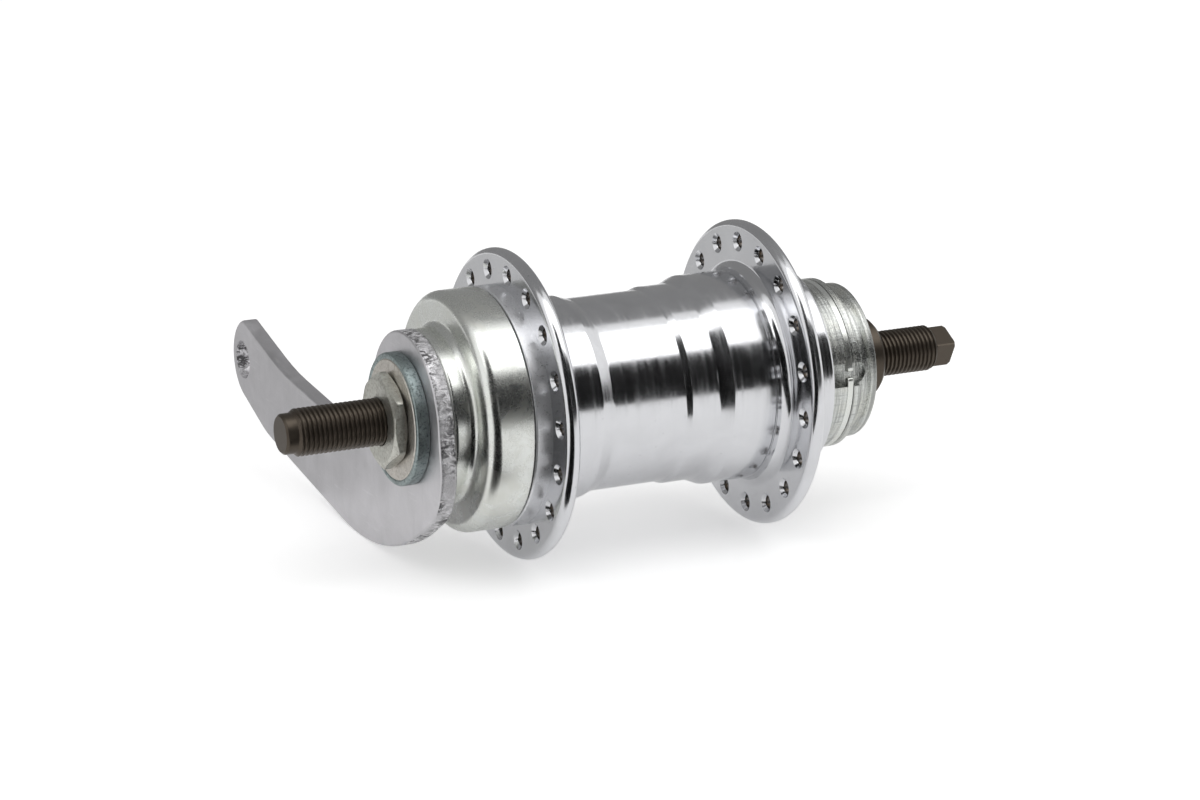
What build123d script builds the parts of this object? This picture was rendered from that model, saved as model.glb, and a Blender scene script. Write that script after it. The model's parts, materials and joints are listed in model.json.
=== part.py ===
"""Rear bicycle hub with a coaster brake, for 36 spokes and a 110 mm frame.

Millimetres. X points forward on the bicycle, Y to the rider's left along the axle, Z up.
The origin is on the axle line, midway between the two faces that the frame clamps.
A turned section is drawn in the XY plane: x is the radius and y the place along the axle.
An angle about the axle is in degrees from +X towards +Z, and forward rotation lowers it.
"""

import os
from dataclasses import dataclass
from math import cos, radians, sin, tan

from build123d import *

# Clearances
running_gap = 0.3        # between outer pieces that turn past each other
bore_clearance = 0.02    # fixed pieces on the plain shank of the axle
slide_clearance = 0.1    # the brake cone on the shank
race_clearance = 0.05    # between a ball or roller and the track that it rolls on
pocket_clearance = 0.12  # between a ball and its cage
roller_play = 0.15       # between a roller and its window
ring_clearance = 0.075   # between a spring ring and its groove
cap_recess = 0.2         # how far the driver's dust cap lies inside its end

# Axle
dropout_gap = 110.0      # between the faces of the locknut and of the fixed cone
thread_radius = 4.75
thread_pitch = 25.4 / 26
crest_share = 0.55       # of the pitch that the flat crest takes
thread_flank_angle = 30
shank_radius = 4.44      # the plain middle, at the pitch radius of the rolled threads
thread_relief = 0.3      # how much wider than the thread a bore opens at a clamped face
left_thread_length = 18.1
right_thread_length = 14.3
dog_length = 2.45
dog_radius = 4.05
dog_chamfer = 0.45
square_length = 4.4
square_across = 5.9
square_corner_radius = 4.15
square_chamfer = 0.5
square_flat_angle = 26.8

# Fixed cone, the bearing cone of the drive side
fixed_cone_chamfer = 0.8
fixed_cone_depth = 2.2   # from the middle of its balls in to its outside
fixed_cone_nose = 2.2    # from the middle of its balls to its inner end
cone_shoulder_step = 1.0
cone_shoulder_width = 0.6

# Brake side, from the locknut inwards
locknut_across = 17.4
locknut_thickness = 2.8
locknut_corner_angle = 25.8
locknut_chamfer = 0.9
washer_radius = 13.3
washer_thickness = 2.8
washer_chamfer = 0.45

arm_thickness = 3.5
arm_angle = -7.41        # from the axle to the clip hole
arm_big_end_radius = 17.4
arm_big_end_stop = 32.7  # angle at which the round big end runs into the neck
arm_heel = (-16.2, 15.0)            # how low the straight heel ends, and its rounding
arm_belly = (15.9, -33.2, 62.0)     # corners along and across the arm, and their rounding
arm_chin = (81.6, -14.7, 30.0)
arm_throat = (69.0, 0.45, 75.0)
arm_neck = (26.0, -8.3, 12.0)
arm_nose_radius = 9.0
arm_nose_centre = (90.1, -0.1)
arm_nose_span = (-62.4, 84.0)       # angles between which the nose is round
arm_hole_radius = 4.1
arm_hole_reach = 92.9
arm_edge_round = 0.6

stub_radius = 9.0        # the end of the lever cone that carries the arm
stub_flat = 7.0          # from the axle line to each of its two flats
stub_recess = 0.2        # how far it stays below the outer face of the arm

cap_wall = 1.2
cap_neck_radius = 17.2
cap_neck_round = 0.8
cap_neck_fillet = 1.6
cap_drum_length = 9.2
cap_drum_round = 2.4

# Hub shell: bores first, then the walls around them
brake_bore_depth = 0.5   # from the sprocket seat in to the brake bore
track_step = 1.3         # from the brake bore out to the roller track
roller_track_start = -11.0
left_step_wall = 3.5     # walls of the barrel's steps over the brake bore
waist_wall = 2.5
middle_wall = 3.05
right_step_wall = 3.1    # over the roller track
right_spigot_wall = 1.9
left_step_end = 15.55    # places of the ramps between the steps
waist_start = 12.7
waist_end = -3.0
middle_start = -4.2
middle_end = -10.0
right_step_start = -13.0
waist_round = 2.0
middle_round = 1.0
right_boss_length = 2.775  # from the right flange to the seam
seam_depth = 0.35
seam_width = 0.3

left_row_step = 0.9      # from the brake bore out to the middle of the left balls
left_cup_wall = 0.975    # outside the left balls
left_cup_back = 1.025    # of solid cup beside the left balls
left_cup_lip = 1.0       # how far the lip of the left cup reaches past the middle of its balls
left_shell_wall = 1.2    # around the left cup
band_step = 1.0          # from the seat of the left flange out to the band and the cap's drum
band_length = 3.55
band_edge = 0.4
left_boss_fillet = 2.6
boss_fillet_margin = 0.1 # least flat left beside a fillet at a flange

flange_spacing = 53.5    # between the middles of the two flanges
flange_thickness = 2.95
flange_rim_round = 1.4
spoke_land = 4.0         # from the seat of the left flange to the spoke circle
spoke_edge = 4.2         # from the spoke circle to the rim
spoke_count = 18         # in each flange
spoke_hole_radius = 1.35
spoke_countersink = 0.7
first_spoke_angle = 5.1  # in the right flange
right_boss_fillet = 2.2

collar_length = 7.7
collar_round = 1.0
collar_wall = 1.3
shell_ring_width = 2.1
shell_ring_thickness = 0.9
shell_ring_recess = 0.4
right_cup_spigot = 1.3   # how far the right cup reaches into the barrel
right_cup_lip_wall = 1.0

# Ball bearings
race_shoulder = 0.6      # how far a race shoulder stands past the ball centres, in race radii
cage_wall = 1.2
cage_web = 1.0           # of solid ring beside the pockets
cage_finger = 0.8        # how far the cage fingers reach past the ball centres

# Lever cone, the bearing cone of the brake side
lever_flange_step = 1.825
lever_flange_width = 1.8
lever_neck_radius = 13.2
lever_neck_chamfer = 1.0

# Driver, which carries the sprocket
seat_radius = 17.5
seat_end = -43.4
right_row_depth = 0.9    # from the seat in to the middle of the right balls
relief_place = -35.6     # middle of the groove where the seat starts
relief_width = 0.8
relief_depth = 0.3
driver_end = -48.2
end_rim_step = 1.5       # from the seat in to the end rim
end_rim_width = 1.4
end_rim_round = 0.3
valley_depth = 2.3
valley_round = 0.7
lug_slot_count = 3
lug_slot_width = 4.8
lug_slot_depth = 3.2
lug_slot_end = -45.8
lug_slot_angle = 173.3
snap_ring_left = -40.55
snap_ring_thickness = 1.35
snap_ring_depth = 1.3
snap_ring_gap = 6.0
driver_bore_radius = 5.6
driver_bore_chamfer = 2.0
driver_cap_wall = 1.8    # of the end rim around the driver's dust cap
driver_cap_thickness = 0.8
cone_lip_depth = 3.9     # from the middle of the cone's balls to the driver's inner lip

# Roller clutch
roller_count = 5
roller_radius = 3.0
roller_length = 12.0
roller_chamfer = 0.3
roller_drop = 0.5        # how far a roller falls back when the clutch lets go
clutch_turn = 24.0       # turn of the roller cage on the driver between driving and braking
clutch_middle = -19.0    # middle of the rollers along the axle
first_roller_angle = 90.0
ramp_lead = 8.0          # turn of each ramp before the driving position
ramp_tail = 10.0         # and past the released position
ramp_foot = 0.5          # how far the core lies below the ramps
ramp_overrun = 1.5       # how far the ramps reach past the left ends of the rollers
neck_overrun = 0.8       # how far they reach past the cage on the right
lobe_depth = 5.7         # from the roller track to the lobes between the ramps
roller_cage_inner_depth = 5.3
roller_cage_outer_depth = 0.7
roller_cage_web = 1.4
nose_count = 5
nose_width = 2.4
nose_height = 2.5
nose_step = 0.3          # from a lobe in to the outside of a nose
nose_depth = 3.8
nose_collar_width = 0.9

# Brake
brake_travel = 2.0       # slide of the brake cone towards the brake side
taper_slope = 0.26       # radius gained along each brake taper
sleeve_gap = 0.2         # between the sleeve and the brake bore
sleeve_wall = 3.45
sleeve_left = 21.0
sleeve_right = -4.0
sleeve_mouth = 3.5       # length of the taper in each end of the sleeve
sleeve_slit = 2.0
sleeve_clearance = 0.05
key_width = 1.7
key_root = 1.0           # how far the key on the lever cone is rooted
brake_cone_step = 1.25   # from the sleeve's bore out to the brake cone
brake_cone_nose = 3.5    # length of the plain nose past its taper
brake_cone_nose_step = 0.3
notch_slope = 0.41       # of the ramps that push the brake cone along
notch_clearance = 0.1
drag_ring_depth = 1.1
drag_ring_width = 1.0
drag_ring_gap = 20.0


@dataclass
class BallRow:
    """One ring of balls. web_side is +1 where the solid ring of its cage is on the left."""

    name: str
    place: float
    pitch_radius: float
    ball_radius: float
    count: int
    web_side: int

    @property
    def race_radius(self):
        return self.ball_radius + race_clearance

    @property
    def outer_wall(self):
        """Radius of the wall outside the balls, which the race is cut into."""
        return self.pitch_radius + self.ball_radius - race_clearance

    @property
    def inner_wall(self):
        """Radius of the wall inside the balls, which the race is cut into."""
        return self.pitch_radius - self.ball_radius + race_clearance

    def shoulder(self, side):
        """Place of the race shoulder on the left (+1) or the right (-1) of the balls."""
        return self.place + side * race_shoulder * self.race_radius


brake_bore_radius = seat_radius - brake_bore_depth
left_row = BallRow("left", 29.0, brake_bore_radius + left_row_step, 3.175, 11, 1)
right_row = BallRow("right", -31.5, seat_radius - right_row_depth, 2.778, 13, 1)
cone_row = BallRow("cone", -43.4, 10.3, 2.381, 9, -1)

# Radii that follow from the bores and walls
roller_track_radius = brake_bore_radius + track_step
barrel_left_radius = brake_bore_radius + left_step_wall
barrel_waist_radius = brake_bore_radius + waist_wall
barrel_middle_radius = brake_bore_radius + middle_wall
barrel_right_radius = roller_track_radius + right_step_wall
right_spigot_radius = roller_track_radius + right_spigot_wall
left_cup_radius = left_row.outer_wall + left_cup_wall
left_seat_radius = left_cup_radius + left_shell_wall
drum_radius = left_seat_radius + band_step
spoke_circle_radius = left_seat_radius + spoke_land
flange_radius = spoke_circle_radius + spoke_edge
collar_seat_radius = seat_radius + running_gap + shell_ring_width
collar_radius = collar_seat_radius + collar_wall
shank_bore = shank_radius + bore_clearance
relieved_bore = thread_radius + thread_relief

# Places along the axle that follow from the sizes above
left_dropout = dropout_gap / 2
right_dropout = -dropout_gap / 2
washer_left = left_dropout - locknut_thickness
arm_left = washer_left - washer_thickness
cap_left = arm_left - arm_thickness
left_flange_left = (flange_spacing + flange_thickness) / 2
left_flange_right = (flange_spacing - flange_thickness) / 2
right_flange_left = -left_flange_right
right_flange_right = -left_flange_left
seam_place = right_flange_left + right_boss_length
shell_left = left_flange_left + band_length
cap_right = shell_left + running_gap
cap_shoulder = cap_right + cap_drum_length
collar_right = right_flange_right - collar_length


def rounded_section(plane, *corners):
    """A filled outline of (x, y) corners on a plane, rounded where a corner has a third value."""
    with BuildSketch(plane) as section:
        Polygon(*[corner[:2] for corner in corners], align=None)
        for x, y, *rounding in corners:
            if rounding:
                fillet(section.vertices().sort_by_distance((x, y))[0], rounding[0])
    return section.sketch


def lathe_section(*corners):
    """A closed section of (radius, place) corners, beside the axle line that it turns about."""
    return rounded_section(Plane.XY, *corners)


def ring_section(inner, outer, left, right):
    """The rectangular section of a plain ring."""
    return lathe_section((inner, left), (inner, right), (outer, right), (outer, left))


def race_section(row):
    """The round section of the track that a row of balls rolls in."""
    with BuildSketch(Plane.XY) as section:
        with Locations((row.pitch_radius, row.place)):
            Circle(row.race_radius)
    return section.sketch


def across(place, angle=0.0):
    """A plane square to the axle: local x at an angle about it, extruding towards the right."""
    turned = (cos(radians(angle)), 0, sin(radians(angle)))
    return Plane(origin=(0, place, 0), x_dir=turned, z_dir=(0, -1, 0))


def facing(angle, radius):
    """A plane square to a radius: local x with forward rotation, local y along the axle."""
    return Plane(Location((0, 0, 0), (0, 90 - angle, 0))).offset(radius)


def polar(radius, angle, centre=(0, 0)):
    """A point of a sketch by its radius and angle about a centre."""
    return (centre[0] + radius * cos(radians(angle)), centre[1] + radius * sin(radians(angle)))


def save(piece, name):
    """Label a finished piece and write its file."""
    piece.part.label = name
    export_step(piece.part, f"parts/{name}.step")


os.makedirs("parts", exist_ok=True)

# Axle: plain shank, ring-grooved threads, a dog point on the left and a square on the right
left_thread_end = left_dropout + left_thread_length
right_thread_end = right_dropout - right_thread_length
thread_chamfer = thread_radius - dog_radius
groove_half = thread_pitch * (1 - crest_share) / 2
groove_depth = groove_half / tan(radians(thread_flank_angle))
groove_places = [
    side * (dropout_gap / 2 + thread_pitch * (turn + 0.5))
    for side, length in ((1, left_thread_length), (-1, right_thread_length))
    for turn in range(int((length - thread_chamfer) / thread_pitch))
]
with BuildPart() as axle:
    revolve(lathe_section(
        (0, left_thread_end + dog_length),
        (dog_radius - dog_chamfer, left_thread_end + dog_length),
        (dog_radius, left_thread_end + dog_length - dog_chamfer),
        (dog_radius, left_thread_end),
        (thread_radius, left_thread_end - thread_chamfer),
        (thread_radius, left_dropout),
        (shank_radius, left_dropout),
        (shank_radius, right_dropout),
        (thread_radius, right_dropout),
        (thread_radius, right_thread_end + thread_chamfer),
        (dog_radius, right_thread_end),
        (0, right_thread_end),
    ), axis=Axis.Y)
    with BuildSketch(Plane.XY):
        with Locations(*[(thread_radius, place) for place in groove_places]):
            Polygon(
                (-groove_depth, 0),
                (groove_depth, -2 * groove_half),
                (groove_depth, 2 * groove_half),
                align=None,
            )
    revolve(axis=Axis.Y, mode=Mode.SUBTRACT)
    with BuildSketch(across(right_thread_end, square_flat_angle)):
        Rectangle(square_across, square_across)
        Circle(square_corner_radius, mode=Mode.INTERSECT)
    extrude(amount=square_length)
    square_end = right_thread_end - square_length
    revolve(lathe_section(
        (square_corner_radius - square_chamfer, square_end),
        (square_corner_radius + square_chamfer, square_end),
        (square_corner_radius + square_chamfer, square_end + 2 * square_chamfer),
    ), axis=Axis.Y, mode=Mode.SUBTRACT)
save(axle, "axle")

# Fixed cone: bearing cone of the drive side, screwed tight to the axle
fixed_cone_radius = cone_row.pitch_radius - fixed_cone_depth
fixed_cone_left = cone_row.place + fixed_cone_nose
cone_shoulder_radius = fixed_cone_radius + cone_shoulder_step
cone_shoulder_right = cone_row.place - cone_row.race_radius - cone_shoulder_width
with BuildPart() as fixed_cone:
    revolve(lathe_section(
        (shank_bore, fixed_cone_left),
        (cone_row.inner_wall, fixed_cone_left),
        (cone_row.inner_wall, cone_row.shoulder(-1)),
        (cone_shoulder_radius, cone_row.shoulder(-1)),
        (cone_shoulder_radius, cone_shoulder_right),
        (fixed_cone_radius, cone_shoulder_right),
        (fixed_cone_radius, right_dropout + fixed_cone_chamfer),
        (fixed_cone_radius - fixed_cone_chamfer, right_dropout),
        (relieved_bore, right_dropout),
        (shank_bore, right_dropout + relieved_bore - shank_bore),
    ), axis=Axis.Y)
    revolve(race_section(cone_row), axis=Axis.Y, mode=Mode.SUBTRACT)
save(fixed_cone, "fixed_cone")

# Locknut: a thin hexagon with both faces chamfered and its bore opened at the outer face
locknut_corner = locknut_across / 2 / cos(radians(30))
with BuildPart() as locknut:
    with BuildSketch(across(left_dropout, locknut_corner_angle)):
        Polygon(*[polar(locknut_corner, 60 * side) for side in range(6)], align=None)
    extrude(amount=locknut_thickness)
    revolve(lathe_section(
        (shank_bore, washer_left),
        (locknut_corner - locknut_chamfer, washer_left),
        (locknut_corner, washer_left + locknut_chamfer / 2),
        (locknut_corner, left_dropout - locknut_chamfer / 2),
        (locknut_corner - locknut_chamfer, left_dropout),
        (relieved_bore, left_dropout),
        (shank_bore, left_dropout - relieved_bore + shank_bore),
    ), axis=Axis.Y, mode=Mode.INTERSECT)
save(locknut, "locknut")

with BuildPart() as arm_washer:
    revolve(lathe_section(
        (shank_bore, arm_left),
        (washer_radius - washer_chamfer, arm_left),
        (washer_radius, arm_left + washer_chamfer),
        (washer_radius, washer_left - washer_chamfer),
        (washer_radius - washer_chamfer, washer_left),
        (shank_bore, washer_left),
    ), axis=Axis.Y)
save(arm_washer, "arm_washer")

# Brake arm: a flat plate with a round big end, a deep belly and a small round nose
nose_start, nose_stop = [
    polar(arm_nose_radius, angle, arm_nose_centre) for angle in arm_nose_span
]
arm_plane = across(arm_left, arm_angle)
with BuildPart() as brake_arm:
    extrude(rounded_section(
        arm_plane,
        (0, 0),
        (-arm_big_end_radius, 0),
        (-arm_big_end_radius, *arm_heel),
        arm_belly,
        arm_chin,
        nose_start,
        arm_nose_centre,
        nose_stop,
        arm_throat,
        arm_neck,
        polar(arm_big_end_radius, arm_big_end_stop),
    ), amount=arm_thickness)
    with BuildSketch(arm_plane):
        with BuildLine():
            nose_from, nose_to = arm_nose_span
            CenterArc(arm_nose_centre, arm_nose_radius, nose_from, nose_to - nose_from)
            Polyline(nose_stop, arm_nose_centre, nose_start)
        make_face()
        Circle(arm_big_end_radius)
    extrude(amount=arm_thickness)
    fillet(brake_arm.faces().filter_by(Axis.Y).edges(), arm_edge_round)
    with BuildSketch(arm_plane):
        Circle(stub_radius)
        Rectangle(4 * stub_radius, 2 * stub_flat, mode=Mode.INTERSECT)
        with Locations((arm_hole_reach, 0)):
            Circle(arm_hole_radius)
    extrude(amount=arm_thickness, mode=Mode.SUBTRACT)
save(brake_arm, "brake_arm")

# Left dust cap: a stamped cup, clamped between the lever cone and the arm
with BuildPart() as left_dust_cap:
    revolve(lathe_section(
        (stub_radius, cap_left),
        (cap_neck_radius, cap_left, cap_neck_round),
        (cap_neck_radius, cap_shoulder, cap_neck_fillet),
        (drum_radius, cap_shoulder, cap_drum_round),
        (drum_radius, cap_right),
        (drum_radius - cap_wall, cap_right),
        (drum_radius - cap_wall, cap_shoulder - cap_wall, cap_drum_round - cap_wall),
        (cap_neck_radius - cap_wall, cap_shoulder - cap_wall, cap_neck_fillet + cap_wall),
        (cap_neck_radius - cap_wall, cap_left - cap_wall),
        (stub_radius, cap_left - cap_wall),
    ), axis=Axis.Y)
save(left_dust_cap, "left_dust_cap")

# Lever cone: bearing cone of the brake side, with the taper that spreads the sleeve
lever_flange_radius = left_row.inner_wall + lever_flange_step
lever_flange_left = left_row.place + left_row.race_radius + lever_flange_width
lever_seat = cap_left - cap_wall
stub_left = arm_left - stub_recess
sleeve_outer_radius = brake_bore_radius - sleeve_gap
sleeve_bore_radius = sleeve_outer_radius - sleeve_wall
taper_foot = sleeve_bore_radius - sleeve_clearance
left_taper_start = sleeve_left - sleeve_mouth
left_taper_length = (left_row.inner_wall - taper_foot) / taper_slope
with BuildPart() as lever_cone:
    revolve(lathe_section(
        (shank_bore, left_taper_start),
        (taper_foot, left_taper_start),
        (left_row.inner_wall, left_taper_start + left_taper_length),
        (left_row.inner_wall, left_row.shoulder(1)),
        (lever_flange_radius, left_row.shoulder(1)),
        (lever_flange_radius, lever_flange_left),
        (lever_neck_radius, lever_flange_left + lever_neck_chamfer),
        (lever_neck_radius, lever_seat),
        (shank_bore, lever_seat),
    ), axis=Axis.Y)
    revolve(race_section(left_row), axis=Axis.Y, mode=Mode.SUBTRACT)
    with BuildSketch(across(stub_left, arm_angle)):
        Circle(stub_radius)
        Rectangle(4 * stub_radius, 2 * stub_flat, mode=Mode.INTERSECT)
        Circle(shank_bore, mode=Mode.SUBTRACT)
    extrude(amount=stub_left - lever_seat)
    with BuildSketch(facing(90, sleeve_bore_radius - key_root)):
        with Locations((0, sleeve_left)):
            Rectangle(key_width, 2 * key_width)
    extrude(amount=sleeve_outer_radius - sleeve_bore_radius)
save(lever_cone, "lever_cone")

# Brake sleeve: split cylinder with a taper in each end
mouth_radius = sleeve_bore_radius + taper_slope * sleeve_mouth
with BuildPart() as brake_sleeve:
    revolve(lathe_section(
        (mouth_radius, sleeve_left),
        (sleeve_outer_radius, sleeve_left),
        (sleeve_outer_radius, sleeve_right),
        (mouth_radius, sleeve_right),
        (sleeve_bore_radius, sleeve_right + sleeve_mouth),
        (sleeve_bore_radius, sleeve_left - sleeve_mouth),
    ), axis=Axis.Y)
    with BuildSketch(facing(90, 0)):
        with Locations((0, (sleeve_left + sleeve_right) / 2)):
            Rectangle(sleeve_slit, 2 * (sleeve_left - sleeve_right))
    extrude(amount=2 * sleeve_outer_radius, mode=Mode.SUBTRACT)
save(brake_sleeve, "brake_sleeve")

# Hub barrel: the tube with the brake surface and the roller track inside
left_cup_right = left_row.place - left_row.ball_radius - left_cup_back
left_boss_room = left_seat_radius - barrel_left_radius - boss_fillet_margin
with BuildPart() as hub_barrel:
    revolve(lathe_section(
        (left_cup_radius, shell_left),
        (drum_radius - band_edge, shell_left),
        (drum_radius, shell_left - band_edge),
        (drum_radius, left_flange_left),
        (left_seat_radius, left_flange_left),
        (left_seat_radius, left_flange_right),
        (barrel_left_radius, left_flange_right, min(left_boss_fillet, left_boss_room)),
        (barrel_left_radius, left_step_end),
        (barrel_waist_radius, waist_start, waist_round),
        (barrel_waist_radius, waist_end, middle_round),
        (barrel_middle_radius, middle_start),
        (barrel_middle_radius, middle_end, waist_round),
        (barrel_right_radius, right_step_start, middle_round),
        (barrel_right_radius, seam_place),
        (right_spigot_radius, seam_place),
        (right_spigot_radius, right_flange_right),
        (roller_track_radius, right_flange_right),
        (roller_track_radius, roller_track_start),
        (brake_bore_radius, roller_track_start),
        (brake_bore_radius, left_cup_right),
        (left_cup_radius, left_cup_right),
    ), axis=Axis.Y)
    with BuildSketch(Plane.XY):
        with Locations((barrel_right_radius, seam_place + seam_depth)):
            Rectangle(2 * seam_depth, seam_width)
    revolve(axis=Axis.Y, mode=Mode.SUBTRACT)
save(hub_barrel, "hub_barrel")


def drill_spokes(flange, place, angle):
    """Cut the spoke holes of a flange, countersunk from both faces."""
    with BuildSketch(across(place, angle)) as holes:
        with PolarLocations(spoke_circle_radius, spoke_count):
            Circle(spoke_hole_radius)
    extrude(holes.sketch, amount=flange_thickness, mode=Mode.SUBTRACT)
    bores = flange.faces().filter_by(GeomType.CYLINDER).filter_by(
        lambda face: abs(face.radius - spoke_hole_radius) < bore_clearance
    )
    chamfer(bores.edges().filter_by(GeomType.CIRCLE), spoke_countersink)


with BuildPart() as left_flange:
    revolve(lathe_section(
        (left_seat_radius, left_flange_left),
        (flange_radius, left_flange_left, flange_rim_round),
        (flange_radius, left_flange_right, flange_rim_round),
        (left_seat_radius, left_flange_right),
    ), axis=Axis.Y)
    drill_spokes(left_flange, left_flange_left, first_spoke_angle + 180 / spoke_count)
save(left_flange, "left_flange")

# Right flange: its boss meets the barrel at a double seam
spoke_rim_radius = spoke_hole_radius + spoke_countersink
right_boss_room = spoke_circle_radius - spoke_rim_radius - barrel_right_radius - boss_fillet_margin
with BuildPart() as right_flange:
    revolve(lathe_section(
        (right_spigot_radius, seam_place),
        (barrel_right_radius, seam_place),
        (barrel_right_radius, right_flange_left, min(right_boss_fillet, right_boss_room)),
        (flange_radius, right_flange_left, flange_rim_round),
        (flange_radius, right_flange_right, flange_rim_round),
        (right_spigot_radius, right_flange_right),
    ), axis=Axis.Y)
    drill_spokes(right_flange, right_flange_left, first_spoke_angle)
save(right_flange, "right_flange")

# Ball cups, pressed into the shell
left_cup_lip_radius = left_row.pitch_radius + left_cup_lip
with BuildPart() as left_ball_cup:
    revolve(lathe_section(
        (left_cup_lip_radius, left_cup_right),
        (left_cup_radius, left_cup_right),
        (left_cup_radius, shell_left),
        (left_row.outer_wall, shell_left),
        (left_row.outer_wall, left_row.shoulder(-1)),
        (left_cup_lip_radius, left_row.shoulder(-1)),
    ), axis=Axis.Y)
    revolve(race_section(left_row), axis=Axis.Y, mode=Mode.SUBTRACT)
save(left_ball_cup, "left_ball_cup")

right_cup_lip_radius = roller_track_radius - right_cup_lip_wall
shell_ring_left = collar_right + shell_ring_recess + shell_ring_thickness
with BuildPart() as right_ball_cup:
    revolve(lathe_section(
        (right_cup_lip_radius, right_flange_right + right_cup_spigot),
        (roller_track_radius, right_flange_right + right_cup_spigot),
        (roller_track_radius, right_flange_right),
        (collar_radius, right_flange_right),
        (collar_radius, collar_right, collar_round),
        (collar_seat_radius, collar_right),
        (collar_seat_radius, shell_ring_left),
        (right_row.outer_wall, shell_ring_left),
        (right_row.outer_wall, right_row.shoulder(1)),
        (right_cup_lip_radius, right_row.shoulder(1)),
    ), axis=Axis.Y)
    revolve(race_section(right_row), axis=Axis.Y, mode=Mode.SUBTRACT)
save(right_ball_cup, "right_ball_cup")

with BuildPart() as shell_dust_ring:
    revolve(ring_section(
        seat_radius + running_gap,
        collar_seat_radius,
        shell_ring_left,
        shell_ring_left - shell_ring_thickness,
    ), axis=Axis.Y)
save(shell_dust_ring, "shell_dust_ring")

# Driver: turned body, then the clutch ramps, the noses and the slots for the sprocket lugs
driver_neck_radius = right_row.inner_wall
driver_neck_left = clutch_middle - roller_length / 2 - roller_cage_web - neck_overrun
driver_left = clutch_middle + roller_length / 2 + ramp_overrun
driver_cap_left = driver_end + cap_recess + driver_cap_thickness
valley_radius = seat_radius - valley_depth
end_rim_radius = seat_radius - end_rim_step
driver_cap_radius = end_rim_radius - driver_cap_wall
driver_cap_hole_radius = fixed_cone_radius + 2 * running_gap
cone_lip_radius = fixed_cone_radius + running_gap
cone_lip_left = cone_row.place + cone_lip_depth
lug_slot_floor_radius = seat_radius - lug_slot_depth
lobe_radius = roller_track_radius - lobe_depth
nose_outer_radius = lobe_radius - nose_step
nose_inner_radius = nose_outer_radius - nose_depth
relief_left = relief_place + relief_width / 2
relief_right = relief_place - relief_width / 2
ramp_left = driver_left - nose_collar_width
roller_orbit = roller_track_radius - roller_radius - race_clearance
roller_pitch = 360 / roller_count


def ramp_floor(turn):
    """Radius of a clutch ramp at a turn past the driving position."""
    return roller_orbit - roller_radius - race_clearance - roller_drop * turn / clutch_turn


def ramp_outline():
    """The outline of the driver under the rollers: one spiral ramp and one lobe for each."""
    ramp_end = clutch_turn + ramp_tail
    lobe_end = roller_pitch - ramp_lead
    for index in range(roller_count):
        driving = first_roller_angle - index * roller_pitch
        ramp = ThreePointArc(*[
            polar(ramp_floor(turn), driving - turn)
            for turn in (-ramp_lead, (ramp_end - ramp_lead) / 2, ramp_end)
        ])
        lobe = ThreePointArc(*[
            polar(lobe_radius, driving - turn)
            for turn in (ramp_end, (ramp_end + lobe_end) / 2, lobe_end)
        ])
        Line(ramp @ 1, lobe @ 0)
        Line(lobe @ 1, polar(ramp_floor(-ramp_lead), driving - lobe_end))


ramp_core_radius = ramp_floor(clutch_turn + ramp_tail) - ramp_foot
with BuildPart() as driver:
    revolve(lathe_section(
        (driver_bore_radius, driver_left),
        (lobe_radius, driver_left),
        (lobe_radius, ramp_left),
        (ramp_core_radius, ramp_left),
        (ramp_core_radius, driver_neck_left),
        (driver_neck_radius, driver_neck_left),
        (driver_neck_radius, right_row.shoulder(-1)),
        (seat_radius, right_row.shoulder(-1)),
        (seat_radius, relief_left),
        (seat_radius - relief_depth, relief_left),
        (seat_radius - relief_depth, relief_right),
        (seat_radius, relief_right),
        (seat_radius, seat_end),
        (valley_radius, seat_end - valley_round, valley_round),
        (valley_radius, driver_end + end_rim_width + valley_round, valley_round),
        (end_rim_radius, driver_end + end_rim_width),
        (end_rim_radius, driver_end, end_rim_round),
        (driver_cap_radius, driver_end),
        (driver_cap_radius, driver_cap_left),
        (cone_row.outer_wall, driver_cap_left),
        (cone_row.outer_wall, cone_row.shoulder(1)),
        (cone_lip_radius, cone_row.shoulder(1)),
        (cone_lip_radius, cone_lip_left),
        (driver_bore_radius, cone_lip_left + driver_bore_chamfer),
    ), axis=Axis.Y)
    revolve(race_section(right_row), axis=Axis.Y, mode=Mode.SUBTRACT)
    revolve(race_section(cone_row), axis=Axis.Y, mode=Mode.SUBTRACT)
    with BuildSketch(across(ramp_left)):
        with BuildLine():
            ramp_outline()
        make_face()
        Circle(nose_inner_radius, mode=Mode.SUBTRACT)
    extrude(amount=ramp_left - driver_neck_left)
    for index in range(nose_count):
        with BuildSketch(facing(first_roller_angle - index * 360 / nose_count, nose_inner_radius)):
            with Locations((0, ramp_left)):
                Rectangle(
                    nose_width,
                    nose_collar_width + nose_height,
                    align=(Align.CENTER, Align.MIN),
                )
        extrude(amount=nose_outer_radius - nose_inner_radius)
    revolve(ring_section(
        seat_radius - snap_ring_depth - ring_clearance,
        2 * seat_radius,
        snap_ring_left + ring_clearance,
        snap_ring_left - snap_ring_thickness - ring_clearance,
    ), axis=Axis.Y, mode=Mode.SUBTRACT)
    for index in range(lug_slot_count):
        slot_angle = lug_slot_angle + index * 360 / lug_slot_count
        with BuildSketch(facing(slot_angle, lug_slot_floor_radius)):
            with Locations((0, lug_slot_end + lug_slot_width / 2)):
                Circle(lug_slot_width / 2)
                Rectangle(
                    lug_slot_width,
                    relief_place - lug_slot_end - lug_slot_width / 2,
                    align=(Align.CENTER, Align.MIN),
                )
        extrude(amount=seat_radius, mode=Mode.SUBTRACT)
save(driver, "driver")

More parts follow.
